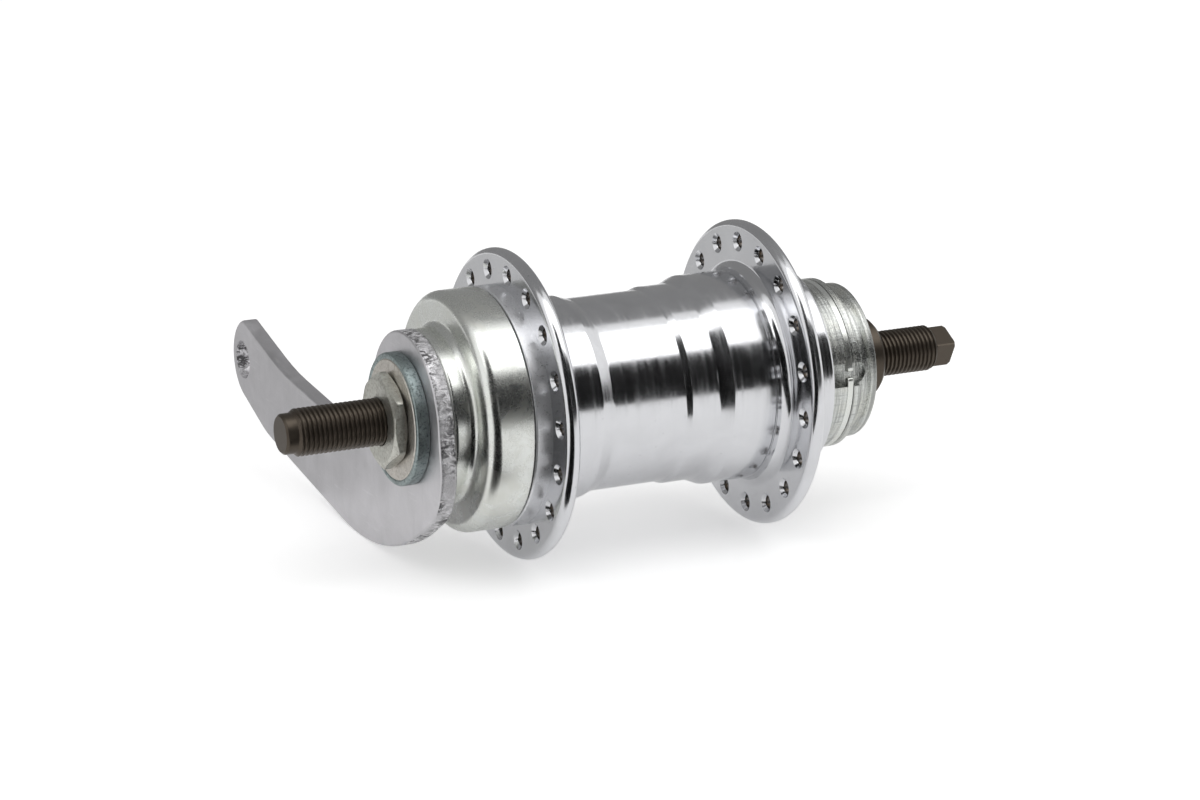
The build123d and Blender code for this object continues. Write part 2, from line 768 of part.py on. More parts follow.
# Snap ring: keeps the sprocket on its seat, and opens over one lug slot
with BuildPart() as snap_ring:
    revolve(ring_section(
        seat_radius - snap_ring_depth,
        seat_radius,
        snap_ring_left,
        snap_ring_left - snap_ring_thickness,
    ), axis=Axis.Y)
    with BuildSketch(facing(lug_slot_angle, 0)):
        with Locations((0, snap_ring_left)):
            Rectangle(2 * seat_radius * tan(radians(snap_ring_gap / 2)), 4 * snap_ring_thickness)
    extrude(amount=2 * seat_radius, mode=Mode.SUBTRACT)
save(snap_ring, "snap_ring")

with BuildPart() as driver_dust_cap:
    revolve(ring_section(
        driver_cap_hole_radius,
        driver_cap_radius,
        driver_cap_left,
        driver_cap_left - driver_cap_thickness,
    ), axis=Axis.Y)
save(driver_dust_cap, "driver_dust_cap")

# Ball rows, each a ring of loose balls in a cage with a pocket for every ball
for row in (left_row, right_row, cone_row):
    with BuildPart(across(row.place)) as balls:
        with PolarLocations(row.pitch_radius, row.count):
            Sphere(row.ball_radius)
    save(balls, f"{row.name}_balls")

    pocket_radius = row.ball_radius + pocket_clearance
    web_place = row.place + row.web_side * (pocket_radius + cage_web)
    finger_place = row.place - row.web_side * cage_finger
    with BuildPart(across(row.place)) as ball_cage:
        revolve(ring_section(
            row.pitch_radius - cage_wall / 2,
            row.pitch_radius + cage_wall / 2,
            max(web_place, finger_place),
            min(web_place, finger_place),
        ), axis=Axis.Y)
        with PolarLocations(row.pitch_radius, row.count):
            Sphere(pocket_radius, mode=Mode.SUBTRACT)
    save(ball_cage, f"{row.name}_ball_cage")

# Roller cage and its rollers, which wedge between the ramps and the roller track
cage_half = roller_length / 2 + roller_play + roller_cage_web
roller_cage_inner_radius = roller_track_radius - roller_cage_inner_depth
roller_cage_outer_radius = roller_track_radius - roller_cage_outer_depth
with BuildPart() as roller_cage:
    revolve(ring_section(
        roller_cage_inner_radius,
        roller_cage_outer_radius,
        clutch_middle + cage_half,
        clutch_middle - cage_half,
    ), axis=Axis.Y)
    for index in range(roller_count):
        with BuildSketch(facing(first_roller_angle - index * roller_pitch, 0)):
            with Locations((0, clutch_middle)):
                Rectangle(2 * (roller_radius + roller_play), roller_length + 2 * roller_play)
        extrude(amount=2 * roller_cage_outer_radius, mode=Mode.SUBTRACT)
save(roller_cage, "roller_cage")

for index in range(roller_count):
    roller_centre = polar(roller_orbit, first_roller_angle - index * roller_pitch)
    with BuildPart() as drive_roller:
        with BuildSketch(across(clutch_middle + roller_length / 2)):
            with Locations(roller_centre):
                Circle(roller_radius)
        extrude(amount=roller_length)
        chamfer(drive_roller.edges().filter_by(GeomType.CIRCLE), roller_chamfer)
    save(drive_roller, f"drive_roller_{index + 1}")

# Brake cone: its taper enters the sleeve when the noses of the driver push its ramps
right_taper_foot = sleeve_right + sleeve_mouth - brake_travel
brake_cone_radius = sleeve_bore_radius + brake_cone_step
brake_cone_nose_radius = taper_foot - brake_cone_nose_step
right_taper_length = (brake_cone_radius - taper_foot) / taper_slope
brake_cone_right = driver_left + running_gap
nose_tip = driver_left + nose_height
drag_ring_middle = right_taper_foot + brake_cone_nose / 2
drag_ring_radius = taper_foot - drag_ring_depth
with BuildPart() as brake_cone:
    revolve(lathe_section(
        (shank_radius + slide_clearance, right_taper_foot + brake_cone_nose),
        (brake_cone_nose_radius, right_taper_foot + brake_cone_nose),
        (brake_cone_nose_radius, right_taper_foot),
        (taper_foot, right_taper_foot),
        (brake_cone_radius, right_taper_foot - right_taper_length),
        (brake_cone_radius, brake_cone_right),
        (shank_radius + slide_clearance, brake_cone_right),
    ), axis=Axis.Y)
    revolve(ring_section(
        drag_ring_radius - sleeve_clearance,
        brake_cone_radius,
        drag_ring_middle + drag_ring_width / 2 + sleeve_clearance,
        drag_ring_middle - drag_ring_width / 2 - sleeve_clearance,
    ), axis=Axis.Y, mode=Mode.SUBTRACT)
    notch_floor = nose_tip + notch_clearance
    notch_mouth = brake_cone_right - running_gap
    notch_low_side = -nose_width / 2 - (notch_floor - notch_mouth) / notch_slope
    for index in range(nose_count):
        with BuildSketch(facing(first_roller_angle - index * 360 / nose_count, 0)):
            Polygon(
                (nose_width / 2 + running_gap, notch_mouth),
                (nose_width / 2 + running_gap, notch_floor),
                (-nose_width / 2, notch_floor),
                (notch_low_side, notch_mouth),
                align=None,
            )
        extrude(amount=2 * brake_cone_radius, mode=Mode.SUBTRACT)
save(brake_cone, "brake_cone")

with BuildPart() as drag_ring:
    revolve(ring_section(
        drag_ring_radius,
        taper_foot,
        drag_ring_middle + drag_ring_width / 2,
        drag_ring_middle - drag_ring_width / 2,
    ), axis=Axis.Y)
    with BuildSketch(facing(-90, 0)):
        with Locations((0, drag_ring_middle)):
            Rectangle(2 * taper_foot * tan(radians(drag_ring_gap / 2)), 4 * drag_ring_width)
    extrude(amount=2 * taper_foot, mode=Mode.SUBTRACT)
save(drag_ring, "drag_ring")
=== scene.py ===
"""Rear bicycle hub with a coaster brake: its pieces, finishes and a plain studio.

Metres. X points forward on the bicycle, Y to the rider's left along the axle, Z up.
A section is a list of (radius, place, rounding), place being the distance along the axle.
An angle about the axle is in radians from +X towards +Z.
"""

import json
from math import atan2, cos, hypot, pi, radians, sin, sqrt, tan, tau

import bmesh
import bpy
from mathutils import Matrix, Vector, noise

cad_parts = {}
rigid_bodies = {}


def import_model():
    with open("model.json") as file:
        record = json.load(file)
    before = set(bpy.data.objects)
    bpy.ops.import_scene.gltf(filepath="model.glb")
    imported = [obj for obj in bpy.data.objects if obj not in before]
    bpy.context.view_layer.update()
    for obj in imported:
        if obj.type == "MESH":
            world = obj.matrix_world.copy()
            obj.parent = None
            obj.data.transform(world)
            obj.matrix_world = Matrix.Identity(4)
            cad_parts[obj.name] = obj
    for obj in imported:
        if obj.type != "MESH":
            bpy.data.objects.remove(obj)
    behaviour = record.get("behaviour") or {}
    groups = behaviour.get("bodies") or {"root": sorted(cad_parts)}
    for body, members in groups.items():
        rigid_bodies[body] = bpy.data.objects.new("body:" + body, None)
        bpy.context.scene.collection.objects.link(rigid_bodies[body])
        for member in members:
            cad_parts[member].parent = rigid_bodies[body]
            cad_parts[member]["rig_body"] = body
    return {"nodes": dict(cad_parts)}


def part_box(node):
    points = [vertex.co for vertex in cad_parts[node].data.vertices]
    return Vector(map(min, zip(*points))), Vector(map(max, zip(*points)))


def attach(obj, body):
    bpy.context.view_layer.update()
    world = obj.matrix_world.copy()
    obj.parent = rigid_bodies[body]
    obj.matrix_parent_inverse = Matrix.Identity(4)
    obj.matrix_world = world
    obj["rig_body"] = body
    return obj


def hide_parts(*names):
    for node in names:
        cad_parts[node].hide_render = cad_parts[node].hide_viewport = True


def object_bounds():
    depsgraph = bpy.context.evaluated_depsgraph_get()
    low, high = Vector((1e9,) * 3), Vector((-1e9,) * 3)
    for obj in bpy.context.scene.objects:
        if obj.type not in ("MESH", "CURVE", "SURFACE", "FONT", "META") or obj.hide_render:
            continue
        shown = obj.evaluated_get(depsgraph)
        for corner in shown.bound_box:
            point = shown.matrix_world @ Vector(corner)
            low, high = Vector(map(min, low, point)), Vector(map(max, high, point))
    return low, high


bl_info = {
    "name": "Coaster Brake Hub",
    "version": (1, 0, 0),
    "blender": (4, 5, 0),
    "location": "3D View > Sidebar > Hub",
    "description": "Builds the visible pieces of a rear bicycle hub, their finishes and a studio",
    "category": "Object",
}

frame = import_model()
CAD_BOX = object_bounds()

MM = 0.001
TURN_STEPS = 240       # facets round a turned piece
AXLE_STEPS = 144       # facets round the axle
DRILL_STEPS = 28       # facets round a spoke hole
ROUND_STEP = radians(12)
FINE_STEP = radians(8)
PLATE_STEP = radians(3)
SHARP_EDGE = radians(32)
WALL_LEAN = 0.5        # a face whose normal lies less along the axle than this is a wall


def left(node):
    """Place of the left face of a frame node."""
    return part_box(node)[1].y


def right(node):
    """Place of the right face of a frame node."""
    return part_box(node)[0].y


def reach(node):
    """Outer radius of a frame node that is turned about the axle."""
    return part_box(node)[1].z


# Settings that a user would change

def length(name, millimetres, description):
    """A size, or a place along the axle from the middle of the hub."""
    return bpy.props.FloatProperty(
        name=name, description=description, default=millimetres * MM,
        unit="LENGTH", precision=5, step=0.01,
    )


def angle(name, degrees, description):
    """An angle about the axle or of a chamfer."""
    return bpy.props.FloatProperty(
        name=name, description=description, default=radians(degrees), unit="ROTATION",
    )


def share(name, value, description):
    """A number from 0 to 1."""
    return bpy.props.FloatProperty(
        name=name, description=description, default=value, min=0, max=1, subtype="FACTOR",
    )


def amount(name, value, description):
    """A plain number, such as a lamp's strength."""
    return bpy.props.FloatProperty(name=name, description=description, default=value)


def colour(name, value, description):
    """A colour of a finish."""
    return bpy.props.FloatVectorProperty(
        name=name, description=description, default=value, size=3, min=0, max=1, subtype="COLOR",
    )


class HubAxleSettings(bpy.types.PropertyGroup):
    """Sizes of the threaded axle."""

    thread_pitch: length("Thread pitch", 25.4 / 26, "Distance between two turns")
    thread_depth: length("Thread depth", 0.46, "From crest to root")
    thread_in_cone: length("Thread in the cone", 4, "How far it runs on inside the fixed cone")
    shank_step: length("Shank step", 0.31, "How much thinner the axle is inside the hub")
    dog_radius: length("Dog point radius", 4.05, "The plain end on the left")
    dog_length: length("Dog point length", 2.45, "The plain end on the left")
    square_length: length("Square length", 4.4, "The squared end on the right")
    square_across: length("Square width", 5.9, "Across two flats")
    square_corner: length("Square corner radius", 4.15, "From the axle line to a corner")
    square_angle: angle("Square angle", 26.8, "Turn of a flat about the axle")
    end_chamfer: length("End chamfer", 0.45, "At both ends")


class HubBrakeSideSettings(bpy.types.PropertyGroup):
    """Sizes of the locknut, the washer, the brake arm and the dust cap."""

    thread_hole: length("Thread hole radius", 4.46, "Through the locknut and the washer")
    nut_across: length("Nut width", 17.4, "Across two flats")
    nut_angle: angle("Nut angle", 25.8, "Turn of a corner about the axle")
    nut_chamfer: angle("Nut chamfer", 27, "Slope of the turned chamfer")
    washer_groove: length("Washer groove radius", 12.1, "Of the line inside the washer's rim")
    arm_angle: angle("Arm angle", -7.41, "From the axle to the clip hole")
    arm_hole_reach: length("Clip hole reach", 92.9, "From the axle to the clip hole")
    arm_hole_radius: length("Clip hole radius", 4.1, "The hole in the nose")
    arm_big_end: length("Big end radius", 17.4, "The round end about the axle")
    arm_nose: length("Nose radius", 9, "The round end with the clip hole")
    arm_edge: length("Arm edge round", 0.6, "Rounding of the stamped edge")
    stub_radius: length("Stub radius", 9, "The end of the lever cone in the arm")
    stub_flat: length("Stub flat", 7, "From the axle line to each flat of the stub")
    cap_neck: length("Cap neck radius", 17.2, "The narrow end beside the arm")
    cap_drum_length: length("Cap drum length", 9.2, "The wide part beside the shell")
    cap_wall: length("Cap wall", 1.2, "Thickness of the stamped sheet")


class HubShellSettings(bpy.types.PropertyGroup):
    """Sizes of the shell."""

    barrel_left: length("Left step radius", 20.5, "Beside the left flange")
    barrel_waist: length("Waist radius", 19.5, "The narrowest step")
    barrel_middle: length("Middle radius", 20.05, "The step with the widest band")
    barrel_right: length("Right step radius", 21.4, "Beside the right flange")
    left_step_end: length("Left step end", 15.55, "Where the left step starts to narrow")
    waist_start: length("Waist start", 12.7, "Left end of the waist")
    waist_end: length("Waist end", -3, "Right end of the waist")
    middle_start: length("Middle start", -4.2, "Left end of the middle step")
    middle_end: length("Middle end", -10, "Right end of the middle step")
    right_step_start: length("Right step start", -13, "Left end of the right step")
    seam_depth: length("Seam depth", 0.3, "Of the two grooves beside the right boss")
    flange_seat: length("Flange seat radius", 23.2, "Where the left flange sits on the barrel")
    spigot: length("Spigot radius", 20.2, "Where the right boss sits on the barrel")
    boss_foot: length("Boss foot radius", 24.5, "Where the right boss meets its flange")
    cup_seat: length("Cup seat radius", 22, "Where the left ball cup sits in the barrel")
    brake_bore: length("Brake bore radius", 17, "The surface that the brake sleeve grips")
    brake_bore_end: length("Brake bore end", -11, "Where the roller track starts")
    roller_track: length("Roller track radius", 18.3, "The surface that the rollers grip")
    flange_round: length("Flange rim round", 1.4, "Rounding of a flange's rim")
    spoke_circle: length("Spoke circle radius", 27.2, "Through the spoke holes")
    spoke_hole: length("Spoke hole radius", 1.35, "In the middle of the flange")
    spoke_countersink: length("Countersink", 0.7, "Depth and width at both faces")
    spoke_count: bpy.props.IntProperty(
        name="Spoke holes", description="In each flange", default=18, min=4,
    )
    left_spoke_angle: angle("Left spoke angle", 15.1, "Of the first hole on the left")
    right_spoke_angle: angle("Right spoke angle", 5.1, "Of the first hole on the right")


class HubDriverSettings(bpy.types.PropertyGroup):
    """Sizes of the snap ring on the driver."""

    ring_gap: angle("Snap ring gap", 6, "Between the ends of the ring")
    ring_depth: length("Snap ring depth", 1.3, "From its outer to its inner edge")
    slot_angle: angle("Slot angle", 173.3, "Of the slot that the ring opens over")


class HubFinishSettings(bpy.types.PropertyGroup):
    """Colours and gloss of the metals."""

    chrome: colour("Chrome", (0.74, 0.745, 0.765), "Plating of the shell")
    chrome_roughness: share("Chrome roughness", 0.11, "Of the polished plating")
    zinc: colour("Zinc", (0.79, 0.81, 0.785), "Plating of the cap and the driver")
    zinc_warm: colour("Aged zinc", (0.70, 0.69, 0.60), "Where the plating has yellowed")
    zinc_roughness: share("Zinc roughness", 0.25, "Of the plated parts")
    washer_face: colour("Washer face", (0.66, 0.63, 0.58), "Where the washer was rubbed")
    washer_rim: colour("Washer rim", (0.34, 0.40, 0.40), "The speckled rim of the washer")
    nut: colour("Locknut", (0.60, 0.60, 0.55), "Dull plating of the nut")
    grime: colour("Grime", (0.16, 0.12, 0.08), "Old oil on the nut, the washer and in the holes")
    arm: colour("Arm", (0.70, 0.69, 0.71), "The stamped plate")
    arm_roughness: share("Arm roughness", 0.40, "Of the stamped plate")
    oxide: colour("Black oxide", (0.018, 0.0145, 0.012), "The axle and the fixed cone")
    rust: colour("Rust", (0.042, 0.022, 0.011), "Spots on the thread")
    bare: colour("Bare steel", (0.62, 0.58, 0.50), "Specks where the oxide has chipped")
    steel: colour("Bearing steel", (0.62, 0.62, 0.63), "Balls, rollers and races")
    bronze: colour("Brake sleeve", (0.50, 0.34, 0.17), "Bronze of the brake sleeve")


class HubStudioSettings(bpy.types.PropertyGroup):
    """The camera and the light."""

    camera_place: bpy.props.FloatVectorProperty(
        name="Camera place", description="Where the camera stands",
        default=(-0.6789, 0.3290, 0.2231), subtype="TRANSLATION", unit="LENGTH",
    )
    camera_aim: bpy.props.FloatVectorProperty(
        name="Camera aim", description="The direction that the camera looks in",
        default=(0.8655, -0.4108, -0.2867), subtype="DIRECTION",
    )
    focal_length: amount("Focal length", 116.7, "Of the lens, in millimetres")
    floor_white: share("Floor white", 0.86, "How much light the floor gives back")
    floor_lift: amount("Floor lift", 0.20, "Brightness added where the camera sees the floor")
    floor_glow: amount("Floor glow", 0.22, "Light that the floor gives off, in reflections too")
    world_light: amount("World light", 0.55, "Strength of the light from all sides")
    softbox_light: amount("Softbox light", 1.15, "Brightness of the overhead softbox")
    window_light: amount("Side light", 1.2, "Brightness of the small side softbox")
    dark_panel: share("Dark panel", 0.012, "How bright the panel beside the camera is")
    front_card: share("Front card", 0.004, "How bright the card in front of the hub is")
    floor_card: share("Floor card", 0.58, "How bright the card on the floor beyond the hub is")
    grey_panel: share("Grey panel", 0.26, "How bright the panel behind the object is")


SETTINGS = {
    "hub_axle": HubAxleSettings,
    "hub_brake_side": HubBrakeSideSettings,
    "hub_shell": HubShellSettings,
    "hub_driver": HubDriverSettings,
    "hub_finish": HubFinishSettings,
    "hub_studio": HubStudioSettings,
}


# Outlines and meshes

def evenly(start, stop, count):
    """The numbers from start to stop in count equal steps."""
    return [start + (stop - start) * index / count for index in range(count + 1)]


def circle_points(radius, start, stop, centre=(0, 0), step=ROUND_STEP):
    """Points of an arc, from one angle to another."""
    turns = evenly(start, stop, max(2, round(abs(stop - start) / step)))
    return [(centre[0] + radius * cos(turn), centre[1] + radius * sin(turn)) for turn in turns]


def rounded(corners, closed=True, step=ROUND_STEP):
    """The points of an outline of (x, y, rounding) corners, with an arc at each rounded one."""
    points = []
    for index, (x, y, *rounding) in enumerate(corners):
        inner = closed or 0 < index < len(corners) - 1
        if not rounding or not rounding[0] or not inner:
            points.append((x, y))
            continue
        corner = Vector((x, y))
        before = (Vector(corners[index - 1][:2]) - corner).normalized()
        after = (Vector(corners[(index + 1) % len(corners)][:2]) - corner).normalized()
        half = before.angle(after) / 2
        centre = corner + (before + after).normalized() * rounding[0] / sin(half)
        start = corner + before * rounding[0] / tan(half) - centre
        stop = corner + after * rounding[0] / tan(half) - centre
        turn = start.angle_signed(stop)
        first = atan2(start.y, start.x)
        points += circle_points(rounding[0], first, first - turn, centre, step)
    return points


def spaced(points, gap):
    """The same closed outline with extra points on its long runs."""
    result = []
    for one, two in zip(points, points[1:] + points[:1]):
        count = max(1, round(hypot(two[0] - one[0], two[1] - one[1]) / gap))
        result += [Vector(one).lerp(Vector(two), index / count) for index in range(count)]
    return result


def about_axle(radius, place, about):
    """The point at a radius, a place along the axle and an angle about it."""
    return Vector((radius * cos(about), place, radius * sin(about)))


def skin(bm, rings, closed_rings=True, closed_sweep=False, capped=False):
    """Vertices on rings of points that have the same count, with faces from ring to ring."""
    rings = [[bm.verts.new(point) for point in ring] for ring in rings]
    pairs = list(zip(rings, rings[1:] + rings[:1]))
    for one, two in pairs if closed_sweep else pairs[:-1]:
        count = len(one)
        for index in range(count if closed_rings else count - 1):
            after = (index + 1) % count
            bm.faces.new((one[index], one[after], two[after], two[index]))
    if capped:
        bm.faces.new(rings[0])
        bm.faces.new(rings[-1])
    return rings


def new_piece(name, bm):
    """An object from a bmesh that is no longer needed."""
    bmesh.ops.remove_doubles(bm, verts=bm.verts, dist=1e-7)
    bmesh.ops.dissolve_degenerate(bm, dist=1e-7, edges=bm.edges)
    bmesh.ops.recalc_face_normals(bm, faces=bm.faces)
    mesh = bpy.data.meshes.new(name)
    bm.to_mesh(mesh)
    bm.free()
    piece = bpy.data.objects.new(name, mesh)
    bpy.context.scene.collection.objects.link(piece)
    return piece


def turned(name, section, steps=TURN_STEPS, shape=lambda radius, place, about: (radius, place)):
    """A closed section turned about the axle; shape may move each point, knowing its angle."""
    bm = bmesh.new()
    turns = evenly(0, tau, steps)[:-1]
    rings = [
        [about_axle(*shape(radius, place, about), about) for about in turns]
        for radius, place in section
    ]
    skin(bm, rings, closed_sweep=True)
    return new_piece(name, bm)


def cut(piece, tool):
    """Cut a tool out of a piece, and remove the tool."""
    boolean = piece.modifiers.new("cut", "BOOLEAN")
    boolean.operation = "DIFFERENCE"
    boolean.solver = "EXACT"
    boolean.object = tool
    graph = bpy.context.evaluated_depsgraph_get()
    mesh = bpy.data.meshes.new_from_object(piece.evaluated_get(graph))
    piece.modifiers.clear()
    piece.data = mesh
    bpy.data.objects.remove(tool)


def coat(mesh, finish):
    """Give a mesh one finish."""
    mesh.materials.clear()
    mesh.materials.append(finish)


def paint(finish, *nodes):
    """Give frame nodes a finish."""
    for node in nodes:
        coat(frame["nodes"][node].data, finish)


def dress(piece, finish, node):
    """Give a new piece its shading and finish, and let it stand for a node and ride with it."""
    piece.data.shade_smooth()
    piece.data.set_sharp_from_angle(angle=SHARP_EDGE)
    normals = piece.modifiers.new("flat_faces", "WEIGHTED_NORMAL")
    normals.keep_sharp = True
    coat(piece.data, finish)
    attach(piece, frame["nodes"][node]["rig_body"])
    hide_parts(node)


def second_finish(piece, finish, covers):
    """Give a piece's faces another finish, where covers says so of their middle and normal."""
    piece.data.materials.append(finish)
    for face in piece.data.polygons:
        if covers(face.center, face.normal):
            face.material_index = 1


# Finishes

def put(tree, value, socket):
    """Link a node's output to a socket, or write a number or a colour there."""
    if isinstance(value, bpy.types.NodeSocket):
        tree.links.new(value, socket)
    else:
        socket.default_value = (*value, 1) if socket.type == "RGBA" else value


def add_node(tree, kind, inputs=None, **choices):
    """A new node with its choices made and its inputs linked or set, by name or number."""
    node = tree.nodes.new(f"ShaderNode{kind}")
    for choice, value in choices.items():
        setattr(node, choice, value)
    for socket, value in (inputs or {}).items():
        put(tree, value, node.inputs[socket])
    return node


class Finish:
    """A metal built from nodes. Its patterns are in millimetres of the part's own frame."""

    def __init__(self, name):
        self.material = bpy.data.materials.new(name)
        self.material.use_nodes = True
        self.tree = self.material.node_tree
        self.place = add_node(self.tree, "TexCoord").outputs["Object"]
        self.metallic = 1.0
        self.specular = 0.5
        self.base = None
        self.rough = None
        self.normal = None

    def scaled(self, size, stretch=(1, 1, 1)):
        """The place in units of size millimetres, longer where stretched."""
        scale = [1 / (MM * size * by) for by in stretch]
        node = add_node(self.tree, "Mapping", {"Vector": self.place, "Scale": scale})
        return node.outputs["Vector"]

    def pattern(self, size, stretch=(1, 1, 1), detail=3.0, roughness=0.55, warp=0.0):
        """Cloudy noise whose features are about size millimetres."""
        return add_node(self.tree, "TexNoise", {
            "Vector": self.scaled(size, stretch),
            "Scale": 1.0,
            "Detail": detail,
            "Roughness": roughness,
            "Distortion": warp,
        }).outputs["Fac"]

    def cells(self, size):
        """Distance from the middles of small cells, for pits and specks."""
        node = add_node(self.tree, "TexVoronoi", {"Vector": self.scaled(size), "Scale": 1.0})
        return node.outputs["Distance"]

    def span(self, value, low, high, to_low=0.0, to_high=1.0):
        """Map a value from one range to another, held at the ends."""
        inputs = dict(enumerate((value, low, high, to_low, to_high)))
        return add_node(self.tree, "MapRange", inputs).outputs["Result"]

    def joined(self, one, two, operation):
        """Two values added or multiplied."""
        return add_node(self.tree, "Math", {0: one, 1: two}, operation=operation).outputs[0]

    def tint(self, value, low, high, shade, most=1.0, where=None):
        """Lay a shade over the base as a pattern goes from low to high, where that is allowed."""
        factor = self.span(value, low, high, 0, most)
        if where:
            factor = self.joined(factor, where, "MULTIPLY")
        mix = add_node(self.tree, "Mix", {0: factor, 6: self.base, 7: shade}, data_type="RGBA")
        self.base = mix.outputs[2]

    def dull(self, value, low, high, least, most):
        """Take the roughness from a pattern, or add a pattern to it."""
        rough = self.span(value, low, high, least, most)
        self.rough = self.joined(self.rough, rough, "ADD") if self.rough else rough

    def relief(self, height, depth):
        """Lay a bump of a depth in millimetres over the ones before it."""
        inputs = {"Distance": depth * MM, "Height": height}
        if self.normal:
            inputs["Normal"] = self.normal
        self.normal = add_node(self.tree, "Bump", inputs).outputs["Normal"]

    def done(self):
        """Give the shader what was gathered."""
        shader = self.tree.nodes["Principled BSDF"]
        for name, value in (
            ("Metallic", self.metallic),
            ("Specular IOR Level", self.specular),
            ("Base Color", self.base),
            ("Roughness", self.rough),
            ("Normal", self.normal),
        ):
            put(self.tree, value, shader.inputs[name])
        return self.material


def finish(build):
    """Turn a function that fills a finish into one that gives its material, made once."""
    def material():
        name = build.__name__
        if name not in bpy.data.materials:
            metal = Finish(name)
            build(metal, bpy.context.scene.hub_finish)
            metal.done()
        return bpy.data.materials[name]
    return material


def lit(shade, by):
    """A colour with its light multiplied."""
    return tuple(by * value for value in shade)


@finish
def chrome_plate(chrome, look):
    """Bright chrome over polished steel: fine lines round the axle and a wavy, hazy skin."""
    shade, gloss = look.chrome, look.chrome_roughness
    lines = chrome.pattern(0.16, stretch=(60, 1, 60), detail=4, roughness=0.7)
    bands = chrome.pattern(1.1, stretch=(40, 1, 40), detail=3, roughness=0.6)
    haze = chrome.pattern(9, detail=4, roughness=0.6, warp=0.6)
    waves = chrome.pattern(5, stretch=(1, 1.6, 1), detail=2)
    chrome.base = lit(shade, 0.92)
    chrome.tint(haze, 0.35, 0.7, shade)
    chrome.tint(chrome.cells(1.9), 0.07, 0.03, lit(shade, 0.45))
    chrome.dull(haze, 0.4, 0.7, gloss, gloss + 0.06)
    chrome.dull(lines, 0.42, 0.72, 0, 0.07)
    chrome.dull(bands, 0.42, 0.65, 0, 0.07)
    chrome.relief(waves, 0.010)
    chrome.relief(lines, 0.0022)


@finish
def satin_chrome(chrome, look):
    """Chrome over a sheared strip, dull and speckled."""
    haze = chrome.pattern(6, detail=4, roughness=0.6, warp=0.6)
    specks = chrome.pattern(0.5, detail=5, roughness=0.75)
    dents = chrome.pattern(1.6, stretch=(1, 0.8, 1), detail=4, roughness=0.65)
    chrome.metallic = 0.85
    chrome.base = look.chrome
    chrome.tint(specks, 0.56, 0.76, lit(look.chrome, 0.55), most=0.5)
    chrome.tint(haze, 0.4, 0.7, lit(look.chrome, 1.12), most=0.5)
    chrome.dull(specks, 0.35, 0.7, 0.26, 0.40)
    chrome.relief(dents, 0.008)
    chrome.relief(specks, 0.010)


@finish
def hole_shade_and_grime_chrome(chrome, look):
    """Chrome inside a drilled hole, darkened as painted shade, with stains of grime over it."""
    stains = chrome.pattern(0.7, detail=4, roughness=0.65)
    # painted shade: the chrome at 0.28 of its light stands for the shade inside the hole
    chrome.base = lit(look.chrome, 0.28)
    chrome.tint(stains, 0.4, 0.65, look.grime)
    chrome.dull(stains, 0.35, 0.7, 0.2, 0.4)
    chrome.relief(stains, 0.02)


@finish
def zinc_plate(zinc, look):
    """Bright zinc with a faint green and yellow tarnish and fine grain."""
    gloss = look.zinc_roughness
    clouds = zinc.pattern(7, detail=5, roughness=0.6, warp=1.2)
    stains = zinc.pattern(2.6, detail=4, roughness=0.65)
    crystals = zinc.pattern(0.22, detail=3, roughness=0.7)
    lines = zinc.pattern(0.25, stretch=(30, 1, 30), detail=3)
    zinc.base = look.zinc
    zinc.tint(clouds, 0.35, 0.68, look.zinc_warm, most=0.35)
    zinc.tint(stains, 0.58, 0.8, lit(look.zinc, 0.7), most=0.3)
    zinc.dull(clouds, 0.3, 0.7, gloss - 0.05, gloss + 0.07)
    zinc.dull(crystals, 0.4, 0.7, 0, 0.04)
    zinc.relief(stains, 0.005)
    zinc.relief(lines, 0.003)
    zinc.relief(crystals, 0.0025)


@finish
def turned_zinc(zinc, look):
    """Zinc over a coarse turned surface, with lines round the axle and hatching across it."""
    shade, gloss = lit(look.zinc, 0.82), look.zinc_roughness
    clouds = zinc.pattern(4, detail=5, roughness=0.6, warp=0.8)
    feed = zinc.pattern(0.55, stretch=(50, 1, 50), detail=4, roughness=0.7)
    grain = zinc.pattern(0.24, detail=4, roughness=0.75)
    hatching = zinc.pattern(0.42, stretch=(1, 10, 1), detail=3, roughness=0.6)
    zinc.base = shade
    zinc.tint(clouds, 0.42, 0.68, look.zinc_warm, most=0.4)
    zinc.tint(feed, 0.48, 0.60, lit(shade, 0.42), most=0.75)
    zinc.tint(hatching, 0.52, 0.68, lit(shade, 0.45), most=0.6)
    zinc.tint(grain, 0.55, 0.8, lit(shade, 0.45), most=0.45)
    zinc.dull(grain, 0.35, 0.7, gloss - 0.07, gloss + 0.08)
    zinc.relief(feed, 0.16)
    zinc.relief(hatching, 0.03)
    zinc.relief(grain, 0.012)


def speckle(zinc, shade, dark, patches):
    """Dull zinc over a sheared or rubbed surface, with dark flecks, stains and painted glints."""
    clouds = zinc.pattern(5, detail=5, roughness=0.6, warp=1.0)
    flecks = zinc.pattern(0.62, detail=5, roughness=0.78)
    painted_glints = zinc.pattern(0.8, detail=4, roughness=0.7)
    zinc.base = shade
    zinc.tint(clouds, 0.40, 0.66, lit(shade, 0.72), most=0.6)
    # painted glints: small patches lit to 1.35 times the zinc's colour
    zinc.tint(painted_glints, 0.56, 0.72, lit(shade, 1.35), most=0.6)
    zinc.tint(flecks, 0.50, 0.64, dark, most=patches)
    zinc.dull(flecks, 0.35, 0.65, 0.28, 0.55)
    zinc.relief(flecks, 0.045)


@finish
def washer_face_zinc(zinc, look):
    """The rubbed face of the washer."""
    speckle(zinc, look.washer_face, look.grime, 0.35)


@finish
def washer_rim_zinc(zinc, look):
    """The rough rim of the washer."""
    speckle(zinc, look.washer_rim, lit(look.washer_rim, 0.22), 0.8)


@finish
def nut_zinc(zinc, look):
    """The dull plating of the locknut, stained with old oil."""
    speckle(zinc, look.nut, look.grime, 0.4)


